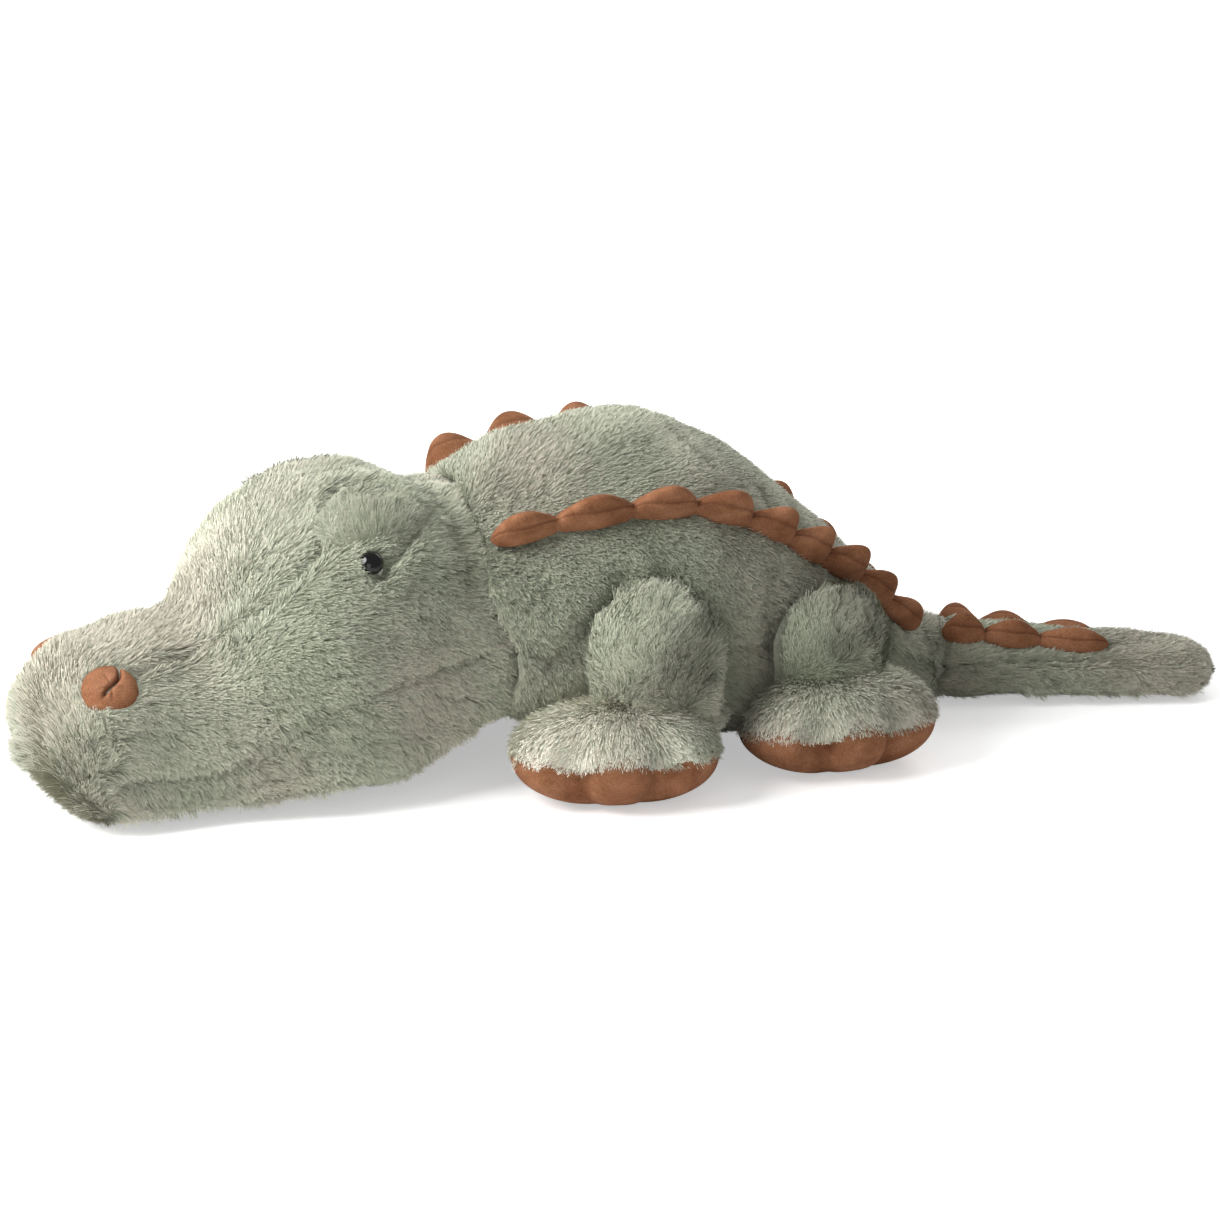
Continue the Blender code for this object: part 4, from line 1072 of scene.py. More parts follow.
class CROC_OT_tail(bpy.types.Operator):
    """Tail skin, pressed onto the body's turned end, and its pile"""

    bl_idname = "croc.tail"
    bl_label = "Tail"

    def execute(self, context):
        skin = tail_skin()
        groove, near, away = crease_fields(skin.points, form_creases(TAIL, TAIL_CREASES))
        inset = INSET * np.clip(1.15 - 0.35 * skin.place, 0.6, 1.0)
        skin.move(-groove + lumps(skin.points, TAIL_LUMPS) - inset)
        radius = section_reach(BODY, 1.0, skin.points[..., 2])[0] - ROOT_DRAW
        limit = np.sqrt(np.clip(radius ** 2 - skin.points[..., 1] ** 2, 0.0, None))
        hidden = skin.points[..., 0] < limit - ROOT_COVER
        skin.press(0, np.maximum(skin.points[..., 0], limit), hidden)
        comb = np.array((1.0, 0.0, 0.0)) - UP * 0.30 * sideness(skin) * (
            skin.normals[..., 2:3] > 0.0)
        fields = base_fields("tail", skin, comb, near, away)
        fields["density"] *= ~hidden
        fields["length"] *= 1.0 - 0.4 * bell(skin.place - 1.0, 0.04)
        part_pile(fields, skin, RIDGES["tail"])
        skin.place_in(tail_frame)
        fields["comb"] = tail_frame(fields["comb"], False)
        # painted shade over the whole tail
        fields["tint"] -= TAIL_PAINTED_SHADE
        stuffed("tail_skin", skin.points, "tail", "tail")
        pile("tail", "tail_pile", "tail", skin, fields)
        return {"FINISHED"}


# ---------------------------------------------------------------- limbs

LEGS = {
    "front": {"x": -0.038, "y": 0.107, "top": 0.608 * BODY_HEIGHT, "radius": 0.046,
              "foot": (-0.070, 0.138), "turn": math.radians(-12.0)},
    "rear": {"x": 0.087, "y": 0.086, "top": 0.520 * BODY_HEIGHT, "radius": 0.044,
             "foot": (0.089, 0.122), "turn": math.radians(4.0)},
}
# place down a leg, and the shares of its radius and of its lean there
LEG_TABLE = ((0.00, 0.00, 0.00), (0.04, 0.38, 0.00), (0.14, 0.72, 0.02), (0.30, 0.94, 0.10),
             (0.48, 1.00, 0.30), (0.66, 1.00, 0.60), (0.82, 0.98, 0.85), (0.94, 0.84, 1.00),
             (1.00, 0.00, 1.00))
LEG_LEAN = 0.006  # outward lean of a leg's lower end
LEG_END = 0.036  # height of a leg's lower end
LEG_INSET = 0.0012  # a leg's backing lies this deep under its CAD surface
FLANK_GAP = 0.0008  # between the body's flank and what lies against it
LEG_LUMPS = (0.0016, 0.04, 51)  # height and size of the waves, and the front legs' seed
# where a leg's pile parts, as a share of its top; how far the parting wanders, the seed of
# that, and the height over which the combing turns
PARTING = {"at": 0.52, "wander": 0.012, "seed": 57, "soft": 0.020}
# painted shade: how much darker the pile is on every leg and on the rear ones besides; it is
# also darker above the parting and paler below it
LEG_PAINTED_SHADE = (0.40, 0.32, 0.25)  # every leg, the rear ones besides, and above the parting
# half length, reach toward the toes and the heel, height, seam's height and its rise over
# the toes, the outline's and the section's powers, and the two notches between the toes
FOOT = {"long": 0.068, "out": 0.046, "in": 0.034, "height": 0.069, "seam": 0.032, "rise": 0.012,
        "power": 2.4, "puff": 2.2, "spread": math.radians(11.0),
        "angles": (math.radians(-24.0), math.radians(24.0)), "dip": 0.55}
PAW_DENT = 0.13  # depth of the notches in the fur and in the suede, as shares of the reach
SOLE_DENT = 0.26
FOOT_COLUMNS = 132
# the pile over the line where the suede ends: the band's height, and how much denser,
# shorter and more upright it is there; the pile also covers the line by a little
PAW_EDGE = {"height": 0.010, "denser": 2.2, "shorter": 0.30, "lift": 0.12, "over": 0.002}
# painted light: every paw's pile is made paler, and painted shade makes the rear ones darker
# again
PAW_PAINTED_LIGHT_AND_SHADE = (1.0, 1.25)  # every paw, and how much darker the rear ones are
PAW_CAP = 8  # rings that close a paw's underside


def leg_skin(leg, side):
    """A limb: rings whose radius swells and closes from top to lower end, leaning out."""
    table = np.array(LEG_TABLE)
    place = 0.5 - 0.5 * np.cos(np.linspace(0.0, math.pi, 44))
    reach = smooth_curve(table[:, 0], table[:, 1], place) * leg["radius"]
    reach[[0, -1]] = 0.0
    lean = smooth_curve(table[:, 0], table[:, 2], place) * LEG_LEAN
    height = leg["top"] - (leg["top"] - LEG_END) * place
    angles = np.linspace(0.0, TAU, 72, endpoint=False)
    out = side * leg["y"] + reach[:, None] * np.sin(angles) + side * lean[:, None]
    points = np.stack(np.broadcast_arrays(leg["x"] + reach[:, None] * np.cos(angles), out,
                                          height[:, None]), axis=-1)
    return skin_of(points, place, angles)


def past_flank(skin, side):
    """Y of the points, moved out to the body's flank, and which of them were inside it."""
    place = (skin.points[..., 0] - BODY["start"]) / BODY["length"]
    limit = section_reach(BODY, place, skin.points[..., 2])[0] + FLANK_GAP
    reach = side * skin.points[..., 1]
    return side * np.maximum(reach, limit), reach < limit + 0.5 * FLANK_GAP


class CROC_OT_legs(bpy.types.Operator):
    """Four limbs, pressed onto the body's flanks, and their pile"""

    bl_idname = "croc.legs"
    bl_label = "Legs"

    def execute(self, context):
        for order, (end, leg) in enumerate(LEGS.items()):
            for word, side in SIDES:
                name = "%s_%s" % (end, word)
                skin = leg_skin(leg, side)
                rise, size, seed = LEG_LUMPS
                skin.move(rise * waves(skin.points, size, seed + order) - LEG_INSET)
                values, hidden = past_flank(skin, side)
                skin.press(1, values, hidden)
                fields = base_fields("leg", skin, self.combing(skin, leg, side), order=order)
                fields["density"] *= ~hidden
                fields["length"] *= 1.0 - 0.15 * np.clip((skin.place - 0.6) / 0.3, 0.0, 1.0)
                fields["calm"] *= 1.0 - 0.7 * bell(skin.place - 0.16, 0.14)
                # painted shade on the legs
                for painted_shade, share in zip(LEG_PAINTED_SHADE, (1.0, order, self.upward(skin, leg))):
                    fields["tint"] -= painted_shade * share
                stuffed("leg_skin_" + name, skin.points, "leg_" + name, "leg_" + name)
                pile("leg", "leg_pile_" + name, "leg_" + name, skin, fields,
                     order=order * 2 + (side > 0))
        return {"FINISHED"}

    @staticmethod
    def upward(skin, leg):
        """From -1 below a leg's wavy parting to 1 above it."""
        wander = PARTING["wander"] * waves(skin.points, 0.05, PARTING["seed"])
        parting = PARTING["at"] * leg["top"] + wander
        return np.tanh((skin.points[..., 2] - parting) / PARTING["soft"])

    def combing(self, skin, leg, side):
        """The pile runs up above the parting, down below it, and to and fro along it."""
        upward = self.upward(skin, leg)
        sideways = (skin.points[..., 0] - leg["x"]) / leg["radius"]
        sweep = (1.0 - upward ** 2) * waves(skin.points, 0.035, 58)
        return np.stack([0.30 * sideways + 0.1 + 0.7 * sweep,
                         0.3 * side * np.clip(upward, 0.0, 1.0), upward - 0.15], axis=-1)


def foot_outline(columns):
    """Outline of a foot from above: a superellipse, longer toward its toes, with notches."""
    angle = np.linspace(0.0, TAU, columns, endpoint=False)
    across, out = np.cos(angle), -np.sin(angle)
    reach = np.where(out < 0.0, FOOT["out"], FOOT["in"])
    along = FOOT["long"] * signed_power(across, 2.0 / FOOT["power"])
    outward = reach * signed_power(out, 2.0 / FOOT["power"])
    from_toe = np.arctan2(across, -out)
    notch = sum(bell(from_toe - place, FOOT["spread"]) for place in FOOT["angles"])
    return along, outward, notch, from_toe


def foot_rings(turns, heights, side, dent):
    """Rings of a foot: its outline scaled by the cosine of the turn, at the heights."""
    along, outward, notch, _ = foot_outline(FOOT_COLUMNS)
    spread = np.clip(np.cos(turns), 0.0, 1.0) ** (2.0 / FOOT["puff"])
    scale = spread[:, None] * (1.0 - dent * notch[None, :] * np.cos(turns)[:, None])
    return np.stack([along[None, :] * scale, -side * outward[None, :] * scale,
                     np.broadcast_to(heights[:, None], scale.shape)], axis=-1)


def foot_line():
    """Height of the line where the suede ends: it rises over the toes and dips between."""
    _, _, notch, from_toe = foot_outline(FOOT_COLUMNS)
    toes = np.clip(np.cos(from_toe), 0.0, 1.0) ** 0.7
    return FOOT["seam"] + FOOT["rise"] * toes * (1.0 - FOOT["dip"] * notch)


def foot_frame(leg, side, points, move=True):
    """From a foot's own frame to the toy's."""
    placed = turned(points, -side * leg["turn"])
    return placed + np.array((leg["foot"][0], side * leg["foot"][1], 0.0)) if move else placed


class CROC_OT_feet(bpy.types.Operator):
    """Four feet: furred tops over stuffed suede soles with three toes"""

    bl_idname = "croc.feet"
    bl_label = "Feet"

    def execute(self, context):
        for order, (end, leg) in enumerate(LEGS.items()):
            for word, side in SIDES:
                self.add_top(order, "%s_%s" % (end, word), side, leg)
                self.add_sole("%s_%s" % (end, word), side, leg)
        return {"FINISHED"}

    def add_top(self, order, name, side, leg):
        """A dome from the seam up, closed by a flat underside, with its pile."""
        turns = np.linspace(0.0, math.pi / 2.0, 26)
        rise = np.sin(turns) ** (2.0 / FOOT["puff"])
        heights = FOOT["seam"] + (FOOT["height"] - FOOT["seam"]) * rise
        dome = foot_rings(turns, heights, side, PAW_DENT)
        shrink = np.linspace(0.0, 1.0, PAW_CAP + 1)[:-1, None, None]
        middle = FOOT["seam"] * UP
        points = np.concatenate([middle + (dome[:1] - middle) * shrink, dome])
        skin = Skin(points)
        top = np.zeros(points.shape[:-1])
        top[PAW_CAP:] = 1.0
        rim = slice(PAW_CAP, PAW_CAP + 2)
        skin.normals[PAW_CAP] = unit(skin.normals[PAW_CAP + 1] * np.array((1.0, 1.0, 0.2)))
        skin.points = skin.points - skin.normals * (INSET * 0.75 * top)[..., None]
        skin.points[..., 2] = np.maximum(skin.points[..., 2], FOOT["seam"])
        skin.find_normals()
        outward = unit(skin.points * np.array((1.0, 1.0, 0.0)))
        skin.normals[rim] = unit(outward[rim] + 0.3 * UP)
        skin.place_in(lambda values, move=True: foot_frame(leg, side, values, move))
        skin.points[..., 1], hidden = past_flank(skin, side)
        ankle = foot_frame(leg, side, np.array((0.0, -side * FOOT["in"], 0.0)))
        comb = unit((skin.points - ankle) * np.array((1.0, 1.0, 0.0))) - 0.12 * UP
        fields = base_fields("paw", skin, comb, order=order)
        above = points[..., 2] - foot_line()[None, :]
        edge = np.clip(1.0 - above / PAW_EDGE["height"], 0.0, 1.0) * top
        fields["density"] = (1.0 - hidden) * top * (above > -PAW_EDGE["over"]) * (
            1.0 + PAW_EDGE["denser"] * edge)
        # painted light on every paw, and painted shade on the rear ones
        fields["tint"] += PAW_PAINTED_LIGHT_AND_SHADE[0]
        fields["tint"] -= PAW_PAINTED_LIGHT_AND_SHADE[1] * order
        fields["calm"] = np.clip(fields["calm"] + 0.3 - 0.3 * edge, 0.0, 0.9)
        fields["lift"] += PAW_EDGE["lift"] * edge
        fields["length"] *= 1.0 - PAW_EDGE["shorter"] * edge
        stuffed("paw_skin_" + name, skin.points, "leg_" + name, "paw_" + name,
                "pale_paw_fur")
        pile("paw", "paw_pile_" + name, "leg_" + name, skin, fields, "pale_paw_fur",
             order * 2 + (side > 0))

    def add_sole(self, name, side, leg):
        """A bowl from the floor to the seam, then a band that rises over the toes on the
        dome's own curve, closed by a shallow cone inside the paw."""
        turns = np.linspace(math.pi / 2.0, 0.0, 40)
        heights = FOOT["seam"] * (1.0 - np.sin(turns) ** (2.0 / FOOT["puff"]))
        bowl = foot_rings(turns, heights, side, SOLE_DENT)
        along, outward, notch, _ = foot_outline(FOOT_COLUMNS)
        steps = np.linspace(0.0, 1.0, 7)[1:, None]
        risen = steps * (foot_line() - FOOT["seam"])[None, :]
        swing = np.arcsin((risen / (FOOT["height"] - FOOT["seam"])) ** (FOOT["puff"] / 2.0))
        scale = np.cos(swing) ** (2.0 / FOOT["puff"]) * (1.0 - SOLE_DENT * notch * np.cos(swing))
        scale = scale - 0.02 * steps ** 3
        band = np.stack([along * scale, -side * outward * scale, FOOT["seam"] + risen], axis=-1)
        shrink = np.linspace(1.0, 0.0, 10)[1:, None, None]
        middle = (FOOT["seam"] + 0.004) * UP
        skin = Skin(np.concatenate([bowl, band, middle + (band[-1:] - middle) * shrink]))
        skin.points = foot_frame(leg, side, skin.points)
        skin.points[..., 1] = past_flank(skin, side)[0]
        skin.points[..., 2] = np.maximum(skin.points[..., 2], 0.0)
        stuffed("sole_suede_" + name, skin.points, "leg_" + name, "sole_" + name,
                "rust_suede")


# ---------------------------------------------------------------- ridges and face

STRIP_EDGE = 0.0015  # width over which the pile begins beside a strip
# pods: height, half width, depth in the fur, and the valleys' shares of height and width;
# how far the sides draw in toward the crown
RIDGE = {"height": 0.030, "half": 0.0085, "sunk": 0.0075, "valley": 0.26,
         "valley_half": 0.60, "draw": 0.15}
# two seams on each pod: angle from the crown in the valleys and added in the pod's middle,
# half width and depth, how dark their painted shade is; and the depth of the valleys' small
# creases
RIDGE_SEAM = {"apart": 0.14, "more": 0.72, "half": 0.075, "depth": 0.0011, "dark": 0.50,
              "crease": 0.0006}
POD_RINGS = 22  # rings along each pod
CLOSING_RINGS = 6.0  # rings over which a strip's ends close
# the strips: places of the valleys, heights of the pods, angles in front and behind, the
# lean of the pile over the strip's edge
RIDGES = {
    "body": {"form": BODY, "front": math.radians(44.5), "rear": math.radians(43.5),
             "twist": 0.0, "lean": 0.25, "steps": 60,
             "borders": (0.078, 0.202, 0.343, 0.463, 0.568, 0.655, 0.732, 0.812, 0.892, 0.975),
             "tall": (0.80, 0.98, 1.00, 0.96, 0.91, 0.87, 0.84, 0.66, 0.50)},
    "tail": {"form": TAIL, "front": math.radians(43.5), "rear": math.radians(43.5),
             "twist": TAIL_TWIST, "lean": 1.0, "steps": 40,
             "borders": (0.090, 0.230, 0.410, 0.640), "tall": (0.64, 0.54, 0.42)},
}


def pod_swell(place, borders):
    """Swelling of a strip's pods at places along it: 0 in the valleys and 1 between them."""
    return np.abs(np.sin(np.interp(place, borders, np.arange(len(borders))) * math.pi))


def ridge_angle(ridge, side, place):
    """Angle of a strip's line at places along its form."""
    angle = ridge["front"] + (ridge["rear"] - ridge["front"]) * place
    return side_angle(side, angle) + ridge["twist"]


def ridge_points(ridge, side):
    """A strip of puffed pods carried along a form: each section is half an ellipse whose
    height and thickness swell with the sine of the way through the pod. Two seams run along
    its crown, apart in the pod's middle and together in the valleys. Gives the points and
    how much painted shade darkens each, by its nearness to a seam."""
    form, borders, heights = ridge["form"], ridge["borders"], np.array(ridge["tall"])
    steps = np.arange(len(heights) * POD_RINGS + 1) / POD_RINGS
    place = np.interp(steps, np.arange(len(borders)), np.array(borders))
    swell = np.abs(np.sin(steps * math.pi))
    spike = np.minimum(steps.astype(int), len(heights) - 1)
    tall = (RIDGE["valley"] + (1.0 - RIDGE["valley"]) * swell) * heights[spike]
    thick = RIDGE["valley_half"] + (1.0 - RIDGE["valley_half"]) * swell
    count = len(steps)
    closing = np.minimum(np.arange(count), np.arange(count)[::-1]) / CLOSING_RINGS
    closing = np.sqrt(np.clip(1.0 - (1.0 - np.clip(closing, 0.0, 1.0)) ** 2, 0.0, 1.0))
    tall, thick = tall * closing, thick * closing
    along, normal, spine = spot_frame(form, place, ridge_angle(ridge, side, place))
    across = np.cross(along, normal)
    share = np.linspace(-1.0, 1.0, 64, endpoint=False)
    turn = math.pi * (0.5 + 0.4 * share + 0.6 * share ** 3)
    upper, lower = np.clip(np.sin(turn), 0.0, 1.0), np.clip(np.sin(turn), -1.0, 0.0)
    wide = np.cos(turn) * (1.0 - RIDGE["draw"] * upper)
    apart = RIDGE_SEAM["apart"] + RIDGE_SEAM["more"] * swell[:, None] ** 0.8
    seam = bell(np.abs(turn[None, :] - math.pi / 2.0) - apart, RIDGE_SEAM["half"])
    seam = seam * np.clip(2.0 * closing, 0.0, 1.0)[:, None]
    creases = RIDGE_SEAM["crease"] * np.cos(steps * TAU * 5.0)[:, None] * (
        1.0 - swell[:, None]) ** 2
    sideways = RIDGE["half"] * thick[:, None] * wide
    upward = RIDGE["height"] * tall[:, None] * upper + RIDGE["sunk"] * lower * closing[:, None]
    size = np.maximum(np.hypot(sideways, upward), 0.004)
    draw = 1.0 - (RIDGE_SEAM["depth"] * seam + creases) / size
    sideways, upward = (sideways * draw)[..., None], (upward * draw)[..., None]
    points = spine[:, None, :] + sideways * across[:, None, :] + upward * normal[:, None, :]
    # painted shade along the seams, over the grooves pressed in above
    return points, RIDGE_SEAM["dark"] * seam


class CROC_OT_ridges(bpy.types.Operator):
    """Suede strips of puffed spikes along the back and the tail"""

    bl_idname = "croc.ridges"
    bl_label = "Ridges"

    def execute(self, context):
        for word, side in SIDES:
            for where, to_toy in (("body", np.array), ("tail", tail_frame)):
                points, seam = ridge_points(RIDGES[where], side)
                stuffed("ridge_suede_%s_%s" % (where, word), to_toy(points), where,
                        "ridge_%s_%s" % (where, word), "rust_suede", seam)
        return {"FINISHED"}


# a nostril's height above and below its rim, depth of its seat, the share of the height
# that the pinch takes, and the power of its section; the pleats' directions in radians and
# their depths
NOSTRIL = {"puff": 0.0085, "under": 0.005, "seat": 0.0085, "pinch": 0.50, "spread": 0.8}
PLEATS = ((1.9, 0.5), (2.5, 0.6), (3.1, 0.45), (-2.5, 0.55), (-1.7, 0.35), (0.6, 0.4))
EYE_SEAT = 0.002
EYE_DOME = 0.72  # height of the eye's dome as a share of its radius
SHANK = {"radius": 0.0022, "rim": 0.0012, "length": 0.012}
LID_SEAT = 0.0078
# painted shade: the lid's pile is darkened so the raised lid reads no brighter than the head
# round it
LID_PAINTED_SHADE = 0.68
LID_DOME = (0.0065, 0.0035)  # height of a lid above its widest ring, and depth below it


def disc_turns(rows, columns):
    """Turns from pole to pole of a round piece as a column, and angles round it as a row."""
    return (np.linspace(-math.pi / 2.0, math.pi / 2.0, rows)[:, None],
            np.linspace(0.0, TAU, columns, endpoint=False)[None, :])


def on_seat(points, at):
    """Points given along, across and outward of a seat, in the form's frame."""
    return points[..., 0:1] * at[0] + points[..., 1:2] * at[1] + points[..., 2:3] * at[2] + at[3]


class CROC_OT_face(bpy.types.Operator):
    """Nostrils, eyes and eyelids"""

    bl_idname = "croc.face"
    bl_label = "Face"

    def execute(self, context):
        for word, side in SIDES:
            self.add_nostril(word, side)
            self.add_eye(word, side)
            self.add_lid(word, side)
            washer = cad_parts["washer_" + word]
            washer.data.materials.clear()
            washer.data.materials.append(MATERIALS["white_plastic"])
        return {"FINISHED"}

    def add_nostril(self, word, side):
        """A puffed disc: its height falls with the radius, and a winding pinch and small
        pleats that leave it are pressed in."""
        at = seat(HEAD, NOSTRIL_SPOT[0], side_angle(side, NOSTRIL_SPOT[1]), NOSTRIL["seat"])
        turn, angle = disc_turns(64, 128)
        spread, rise = np.cos(turn) ** NOSTRIL["spread"], np.sin(turn)
        x = NOSTRIL_RADIUS * spread * np.cos(angle)
        y = NOSTRIL_RADIUS * spread * np.sin(angle)
        back, down = -x / NOSTRIL_RADIUS, -side * y / NOSTRIL_RADIUS
        u = 0.60 * back - 0.80 * down
        v = 0.80 * back + 0.60 * down
        main = bell(v - 0.15 * np.sin(u * 3.4), 0.085) * np.clip((u + 0.62) / 0.4, 0.0, 1.0)
        around = np.arctan2(down, back)
        pleats = sum(bell(np.angle(np.exp(1j * (around - way))), 0.17) * deep
                     for way, deep in PLEATS)
        pleats = pleats * bell(np.hypot(u, v) - 0.34, 0.24) * 0.40
        pinch = np.clip(main + pleats, 0.0, 1.1)
        height = np.where(rise > 0.0, NOSTRIL["puff"] * rise * (1.0 - NOSTRIL["pinch"] * pinch),
                          NOSTRIL["under"] * rise)
        points = on_seat(np.stack([x, y, height], axis=-1), at)
        # painted shade: the whole nostril a little darker, and darker still in its pinch and
        # pleats
        seam = 0.12 + 0.7 * np.clip(pinch, 0.0, 1.0) ** 2 * (rise > 0.0)
        stuffed("nostril_suede_" + word, head_frame(points), "head", "nostril_" + word,
                "rust_suede", seam)

    def add_eye(self, word, side):
        """A turned dome on a short rim and shank."""
        at = seat(HEAD, EYE_SPOT[0], side_angle(side, EYE_SPOT[1]), EYE_SEAT)
        turn = np.linspace(math.pi / 2.0, 0.0, 28)
        radius = np.concatenate([EYE_RADIUS * np.cos(turn),
                                 (EYE_RADIUS, SHANK["radius"], SHANK["radius"], 0.0)])
        radius[0] = 0.0
        height = np.concatenate([EYE_DOME * EYE_RADIUS * np.sin(turn),
                                 (-SHANK["rim"], -SHANK["rim"], -SHANK["length"],
                                  -SHANK["length"])])
        angle = disc_turns(1, 56)[1]
        points = np.stack(np.broadcast_arrays(
            radius[:, None] * np.cos(angle), radius[:, None] * np.sin(angle),
            height[:, None]), axis=-1)
        item = grid_object("eye_gloss_" + word, head_frame(on_seat(points, at)),
                           MATERIALS["black_gloss"])
        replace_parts(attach(item, "head"), "eye_" + word)

    def add_lid(self, word, side):
        """A low stuffed dome over the eye, its pile fanned up from the eye."""
        at = seat(HEAD, LID_SPOT[0], side_angle(side, LID_SPOT[1]), LID_SEAT)
        turn, angle = disc_turns(30, 80)
        height = np.where(turn > 0.0, *LID_DOME) * np.sin(turn)
        points = np.stack(np.broadcast_arrays(
            LID_HALF[0] * np.cos(turn) * np.cos(angle),
            LID_HALF[1] * np.cos(turn) * np.sin(angle), height), axis=-1)
        skin = Skin(on_seat(points, at))
        eye = seat(HEAD, EYE_SPOT[0], side_angle(side, EYE_SPOT[1]))[3]
        fields = base_fields("lid", skin, unit(skin.points - eye))
        # painted shade on the lid
        fields["tint"] -= LID_PAINTED_SHADE
        fields["calm"] *= 0.3
        fields["density"] = (points[..., 2] > -0.0005) * 1.0
        skin.place_in(head_frame)
        fields["comb"] = head_frame(fields["comb"], False)
        stuffed("eyelid_skin_" + word, skin.points, "head", "eyelid_" + word)
        pile("lid", "eyelid_pile_" + word, "head", skin, fields, order=int(side > 0))


# ---------------------------------------------------------------- stage

FLOOR_REACH = 30.0
# the camera: turn from straight at the left side and rise in degrees, aim, distance, and
# lens and sensor in millimetres
VIEW = {"turn": -17.0, "rise": 18.0, "aim": (-0.065, -0.111, 0.120), "distance": 2.4,
        "lens": 108.95, "sensor": 36.0}


class CROC_OT_stage(bpy.types.Operator):
    """Pale floor, soft studio light and the camera"""

    bl_idname = "croc.stage"
    bl_label = "Stage"

    def execute(self, context):
        scene = context.scene
        scene.view_settings.view_transform = "Standard"
        self.add_world(scene)
        self.add_floor()
        for name, level, size, place, aim in (
                ("key_light", settings().key_level, 1.0, (-1.24, -0.20, 1.02),
                 (-0.20, -0.02, 0.10)),
                ("fill_light", settings().fill_level, 0.6, (-0.62, -0.95, 0.36),
                 (-0.17, -0.10, 0.08)),
                ("back_light", settings().back_level, 1.0, (1.00, 0.90, 1.00),
                 (0.00, 0.00, 0.10))):
            self.add_area(name, level, size, place, aim)
        self.add_camera(scene)
        return {"FINISHED"}

    def add_world(self, scene):
        """White to the camera, and a weaker white light from all round."""
        world = bpy.data.worlds.new("studio")
        world.use_nodes = True
        tree = world.node_tree
        path = add_node(tree, "ShaderNodeLightPath")
        level = add_node(tree, "ShaderNodeMapRange", {"From Min": 0.0, "From Max": 1.0,
                                                      "To Min": settings().ambient_level,
                                                      "To Max": 1.0},
                         {"Value": path.outputs["Is Camera Ray"]})
        back = tree.nodes["Background"]
        back.inputs[0].default_value = WHITE
        tree.links.new(level.outputs[0], back.inputs[1])
        scene.world = world

    def add_floor(self):
        """A square of pale paper, which glows to the camera as the far backdrop does."""
        corners = [(x * FLOOR_REACH, y * FLOOR_REACH, 0.0)
                   for x, y in ((-1, -1), (1, -1), (1, 1), (-1, 1))]
        item = mesh_of("floor", corners, [(0, 1, 2, 3)])
        material = bpy.data.materials.new("pale_floor")
        material.use_nodes = True
        tree = material.node_tree
        tree.nodes.clear()
        path = add_node(tree, "ShaderNodeLightPath")
        paper = add_node(tree, "ShaderNodeBsdfDiffuse", {"Color": linear("#F4F4F3")})
        where = add_node(tree, "ShaderNodeTexCoord")
        away = add_node(tree, "ShaderNodeVectorMath", {"operation": "LENGTH"},
                        {0: where.outputs["Object"]})
        fade = add_node(tree, "ShaderNodeMapRange", {"From Min": 0.35, "From Max": 1.3,
                                                     "To Min": 0.45, "To Max": 1.0},
                        {"Value": away.outputs["Value"]})
        lift = add_node(tree, "ShaderNodeMath", {"operation": "MULTIPLY"},
                        {0: path.outputs["Is Camera Ray"], 1: fade.outputs[0]})
        glow = add_node(tree, "ShaderNodeEmission", {"Color": WHITE},
                        {"Strength": lift.outputs[0]})
        both = add_node(tree, "ShaderNodeAddShader", links={0: paper.outputs[0],
                                                            1: glow.outputs[0]})
        add_node(tree, "ShaderNodeOutputMaterial", links={"Surface": both.outputs[0]})
        item.data.materials.append(material)

    def add_area(self, name, level, size, place, aim):
        """A round soft light at a place, turned to its aim."""
        light = bpy.data.lights.new(name, "AREA")
        light.energy, light.shape, light.size = level, "DISK", size
        item = bpy.data.objects.new(name, light)
        item.location = place
        item.rotation_mode = "QUATERNION"
        item.rotation_quaternion = (Vector(place) - Vector(aim)).to_track_quat("Z", "Y")
        bpy.context.scene.collection.objects.link(item)

    def add_camera(self, scene):
        """The camera, on a line that is turned and raised from its aim."""
        turn, rise = math.radians(VIEW["turn"]), math.radians(VIEW["rise"])
        back = Vector((math.sin(turn) * math.cos(rise), -math.cos(turn) * math.cos(rise),
                       math.sin(rise)))
        camera = bpy.data.cameras.new("photograph_view")
        camera.sensor_width, camera.lens = VIEW["sensor"], VIEW["lens"]
        camera.clip_start, camera.clip_end = 0.05, 100.0
        item = bpy.data.objects.new("photograph_view", camera)
        item.location = Vector(VIEW["aim"]) + back * VIEW["distance"]
        item.rotation_mode = "QUATERNION"
        item.rotation_quaternion = (-back).to_track_quat("-Z", "Y")
        scene.collection.objects.link(item)
        scene.camera = item


# ---------------------------------------------------------------- add-on

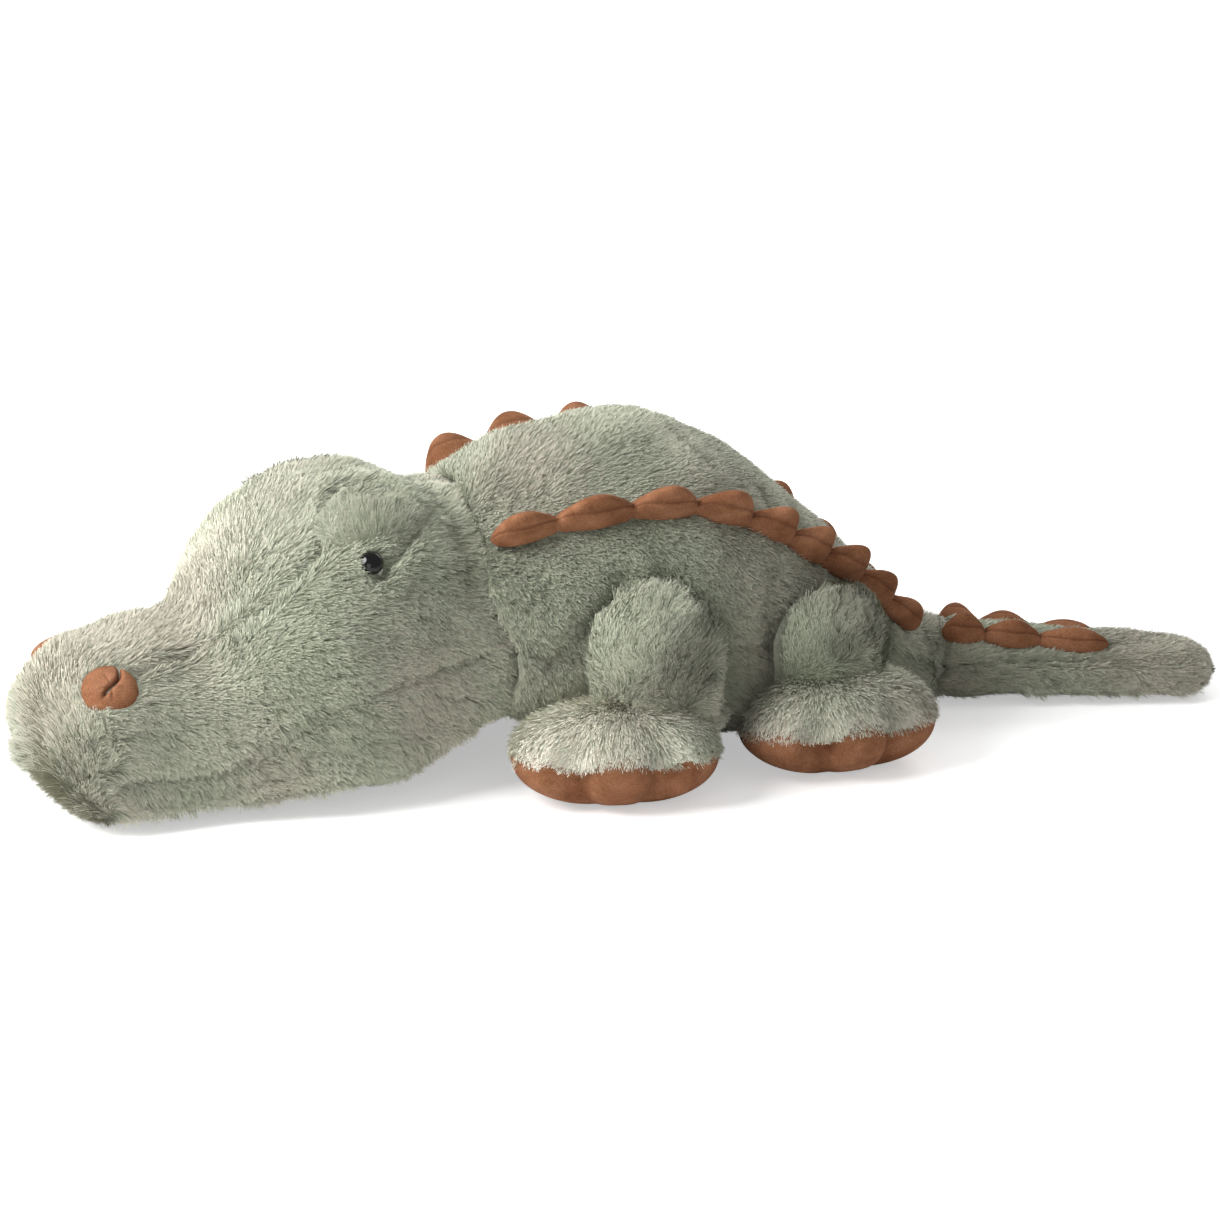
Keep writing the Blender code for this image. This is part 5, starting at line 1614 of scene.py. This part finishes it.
class PlushCrocodileSettings(bpy.types.PropertyGroup):
    """Sizes and amounts that a user would change"""

    pile_length: bpy.props.FloatProperty(
        name="Pile length", description="Length of the fur on the head and body",
        default=PILE, min=0.004, max=0.04, subtype="DISTANCE", unit="LENGTH")
    fur_tips: bpy.props.FloatVectorProperty(
        name="Fur tips", description="Colour of the palest tips of the fur",
        default=linear("#E4E2D5"), size=4, min=0.0, max=1.0, subtype="COLOR")
    # the paws' paler fur is painted light
    paw_tips: bpy.props.FloatVectorProperty(
        name="Paw tips", description="Colour of the palest tips of the paws' fur",
        default=linear("#F8F6EC"), size=4, min=0.0, max=1.0, subtype="COLOR")
    suede: bpy.props.FloatVectorProperty(
        name="Suede", description="Middle colour of the ridges, soles and nostrils",
        default=linear("#9A694B"), size=4, min=0.0, max=1.0, subtype="COLOR")
    strands_head: bpy.props.IntProperty(
        name="Head strands", description="Strands of fur on the head", default=600000)
    strands_body: bpy.props.IntProperty(
        name="Body strands", description="Strands of fur on the body", default=600000)
    strands_tail: bpy.props.IntProperty(
        name="Tail strands", description="Strands of fur on the tail", default=90000)
    strands_leg: bpy.props.IntProperty(
        name="Leg strands", description="Strands of fur on each leg", default=45000)
    strands_paw: bpy.props.IntProperty(
        name="Paw strands", description="Strands of fur on each paw", default=38000)
    strands_lid: bpy.props.IntProperty(
        name="Eyelid strands", description="Strands of fur on each eyelid", default=10000)
    key_level: bpy.props.FloatProperty(
        name="Key light", description="Power of the main light in watts", default=32.0,
        min=0.0)
    fill_level: bpy.props.FloatProperty(
        name="Fill light", description="Power of the low light before the head in watts",
        default=1.2, min=0.0)
    back_level: bpy.props.FloatProperty(
        name="Back light", description="Power of the light behind the tail in watts",
        default=9.0, min=0.0)
    ambient_level: bpy.props.FloatProperty(
        name="Ambient light", description="Level of the light from all round", default=0.38,
        min=0.0)


STEPS = ("head", "body", "tail", "legs", "feet", "ridges", "face", "stage")


class CROC_PT_panel(bpy.types.Panel):
    """The toy's steps and settings"""

    bl_idname = "CROC_PT_panel"
    bl_label = "Plush Crocodile"
    bl_space_type = "VIEW_3D"
    bl_region_type = "UI"
    bl_category = "Plush Crocodile"

    def draw(self, context):
        layout = self.layout
        for name in PlushCrocodileSettings.__annotations__:
            layout.prop(context.scene.plush_crocodile, name)
        for step in STEPS:
            layout.operator("croc." + step)


CLASSES = (PlushCrocodileSettings, CROC_OT_head, CROC_OT_body, CROC_OT_tail, CROC_OT_legs,
           CROC_OT_feet, CROC_OT_ridges, CROC_OT_face, CROC_OT_stage, CROC_PT_panel)


def register():
    """Make the add-on's classes and settings known."""
    for item in CLASSES:
        bpy.utils.register_class(item)
    bpy.types.Scene.plush_crocodile = bpy.props.PointerProperty(type=PlushCrocodileSettings)


def unregister():
    """Take them out again."""
    del bpy.types.Scene.plush_crocodile
    for item in reversed(CLASSES):
        bpy.utils.unregister_class(item)


def main():
    """Build the toy."""
    register()
    make_materials()
    for step in STEPS:
        getattr(bpy.ops.croc, step)()
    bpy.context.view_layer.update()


if __name__ == "__main__":
    main()
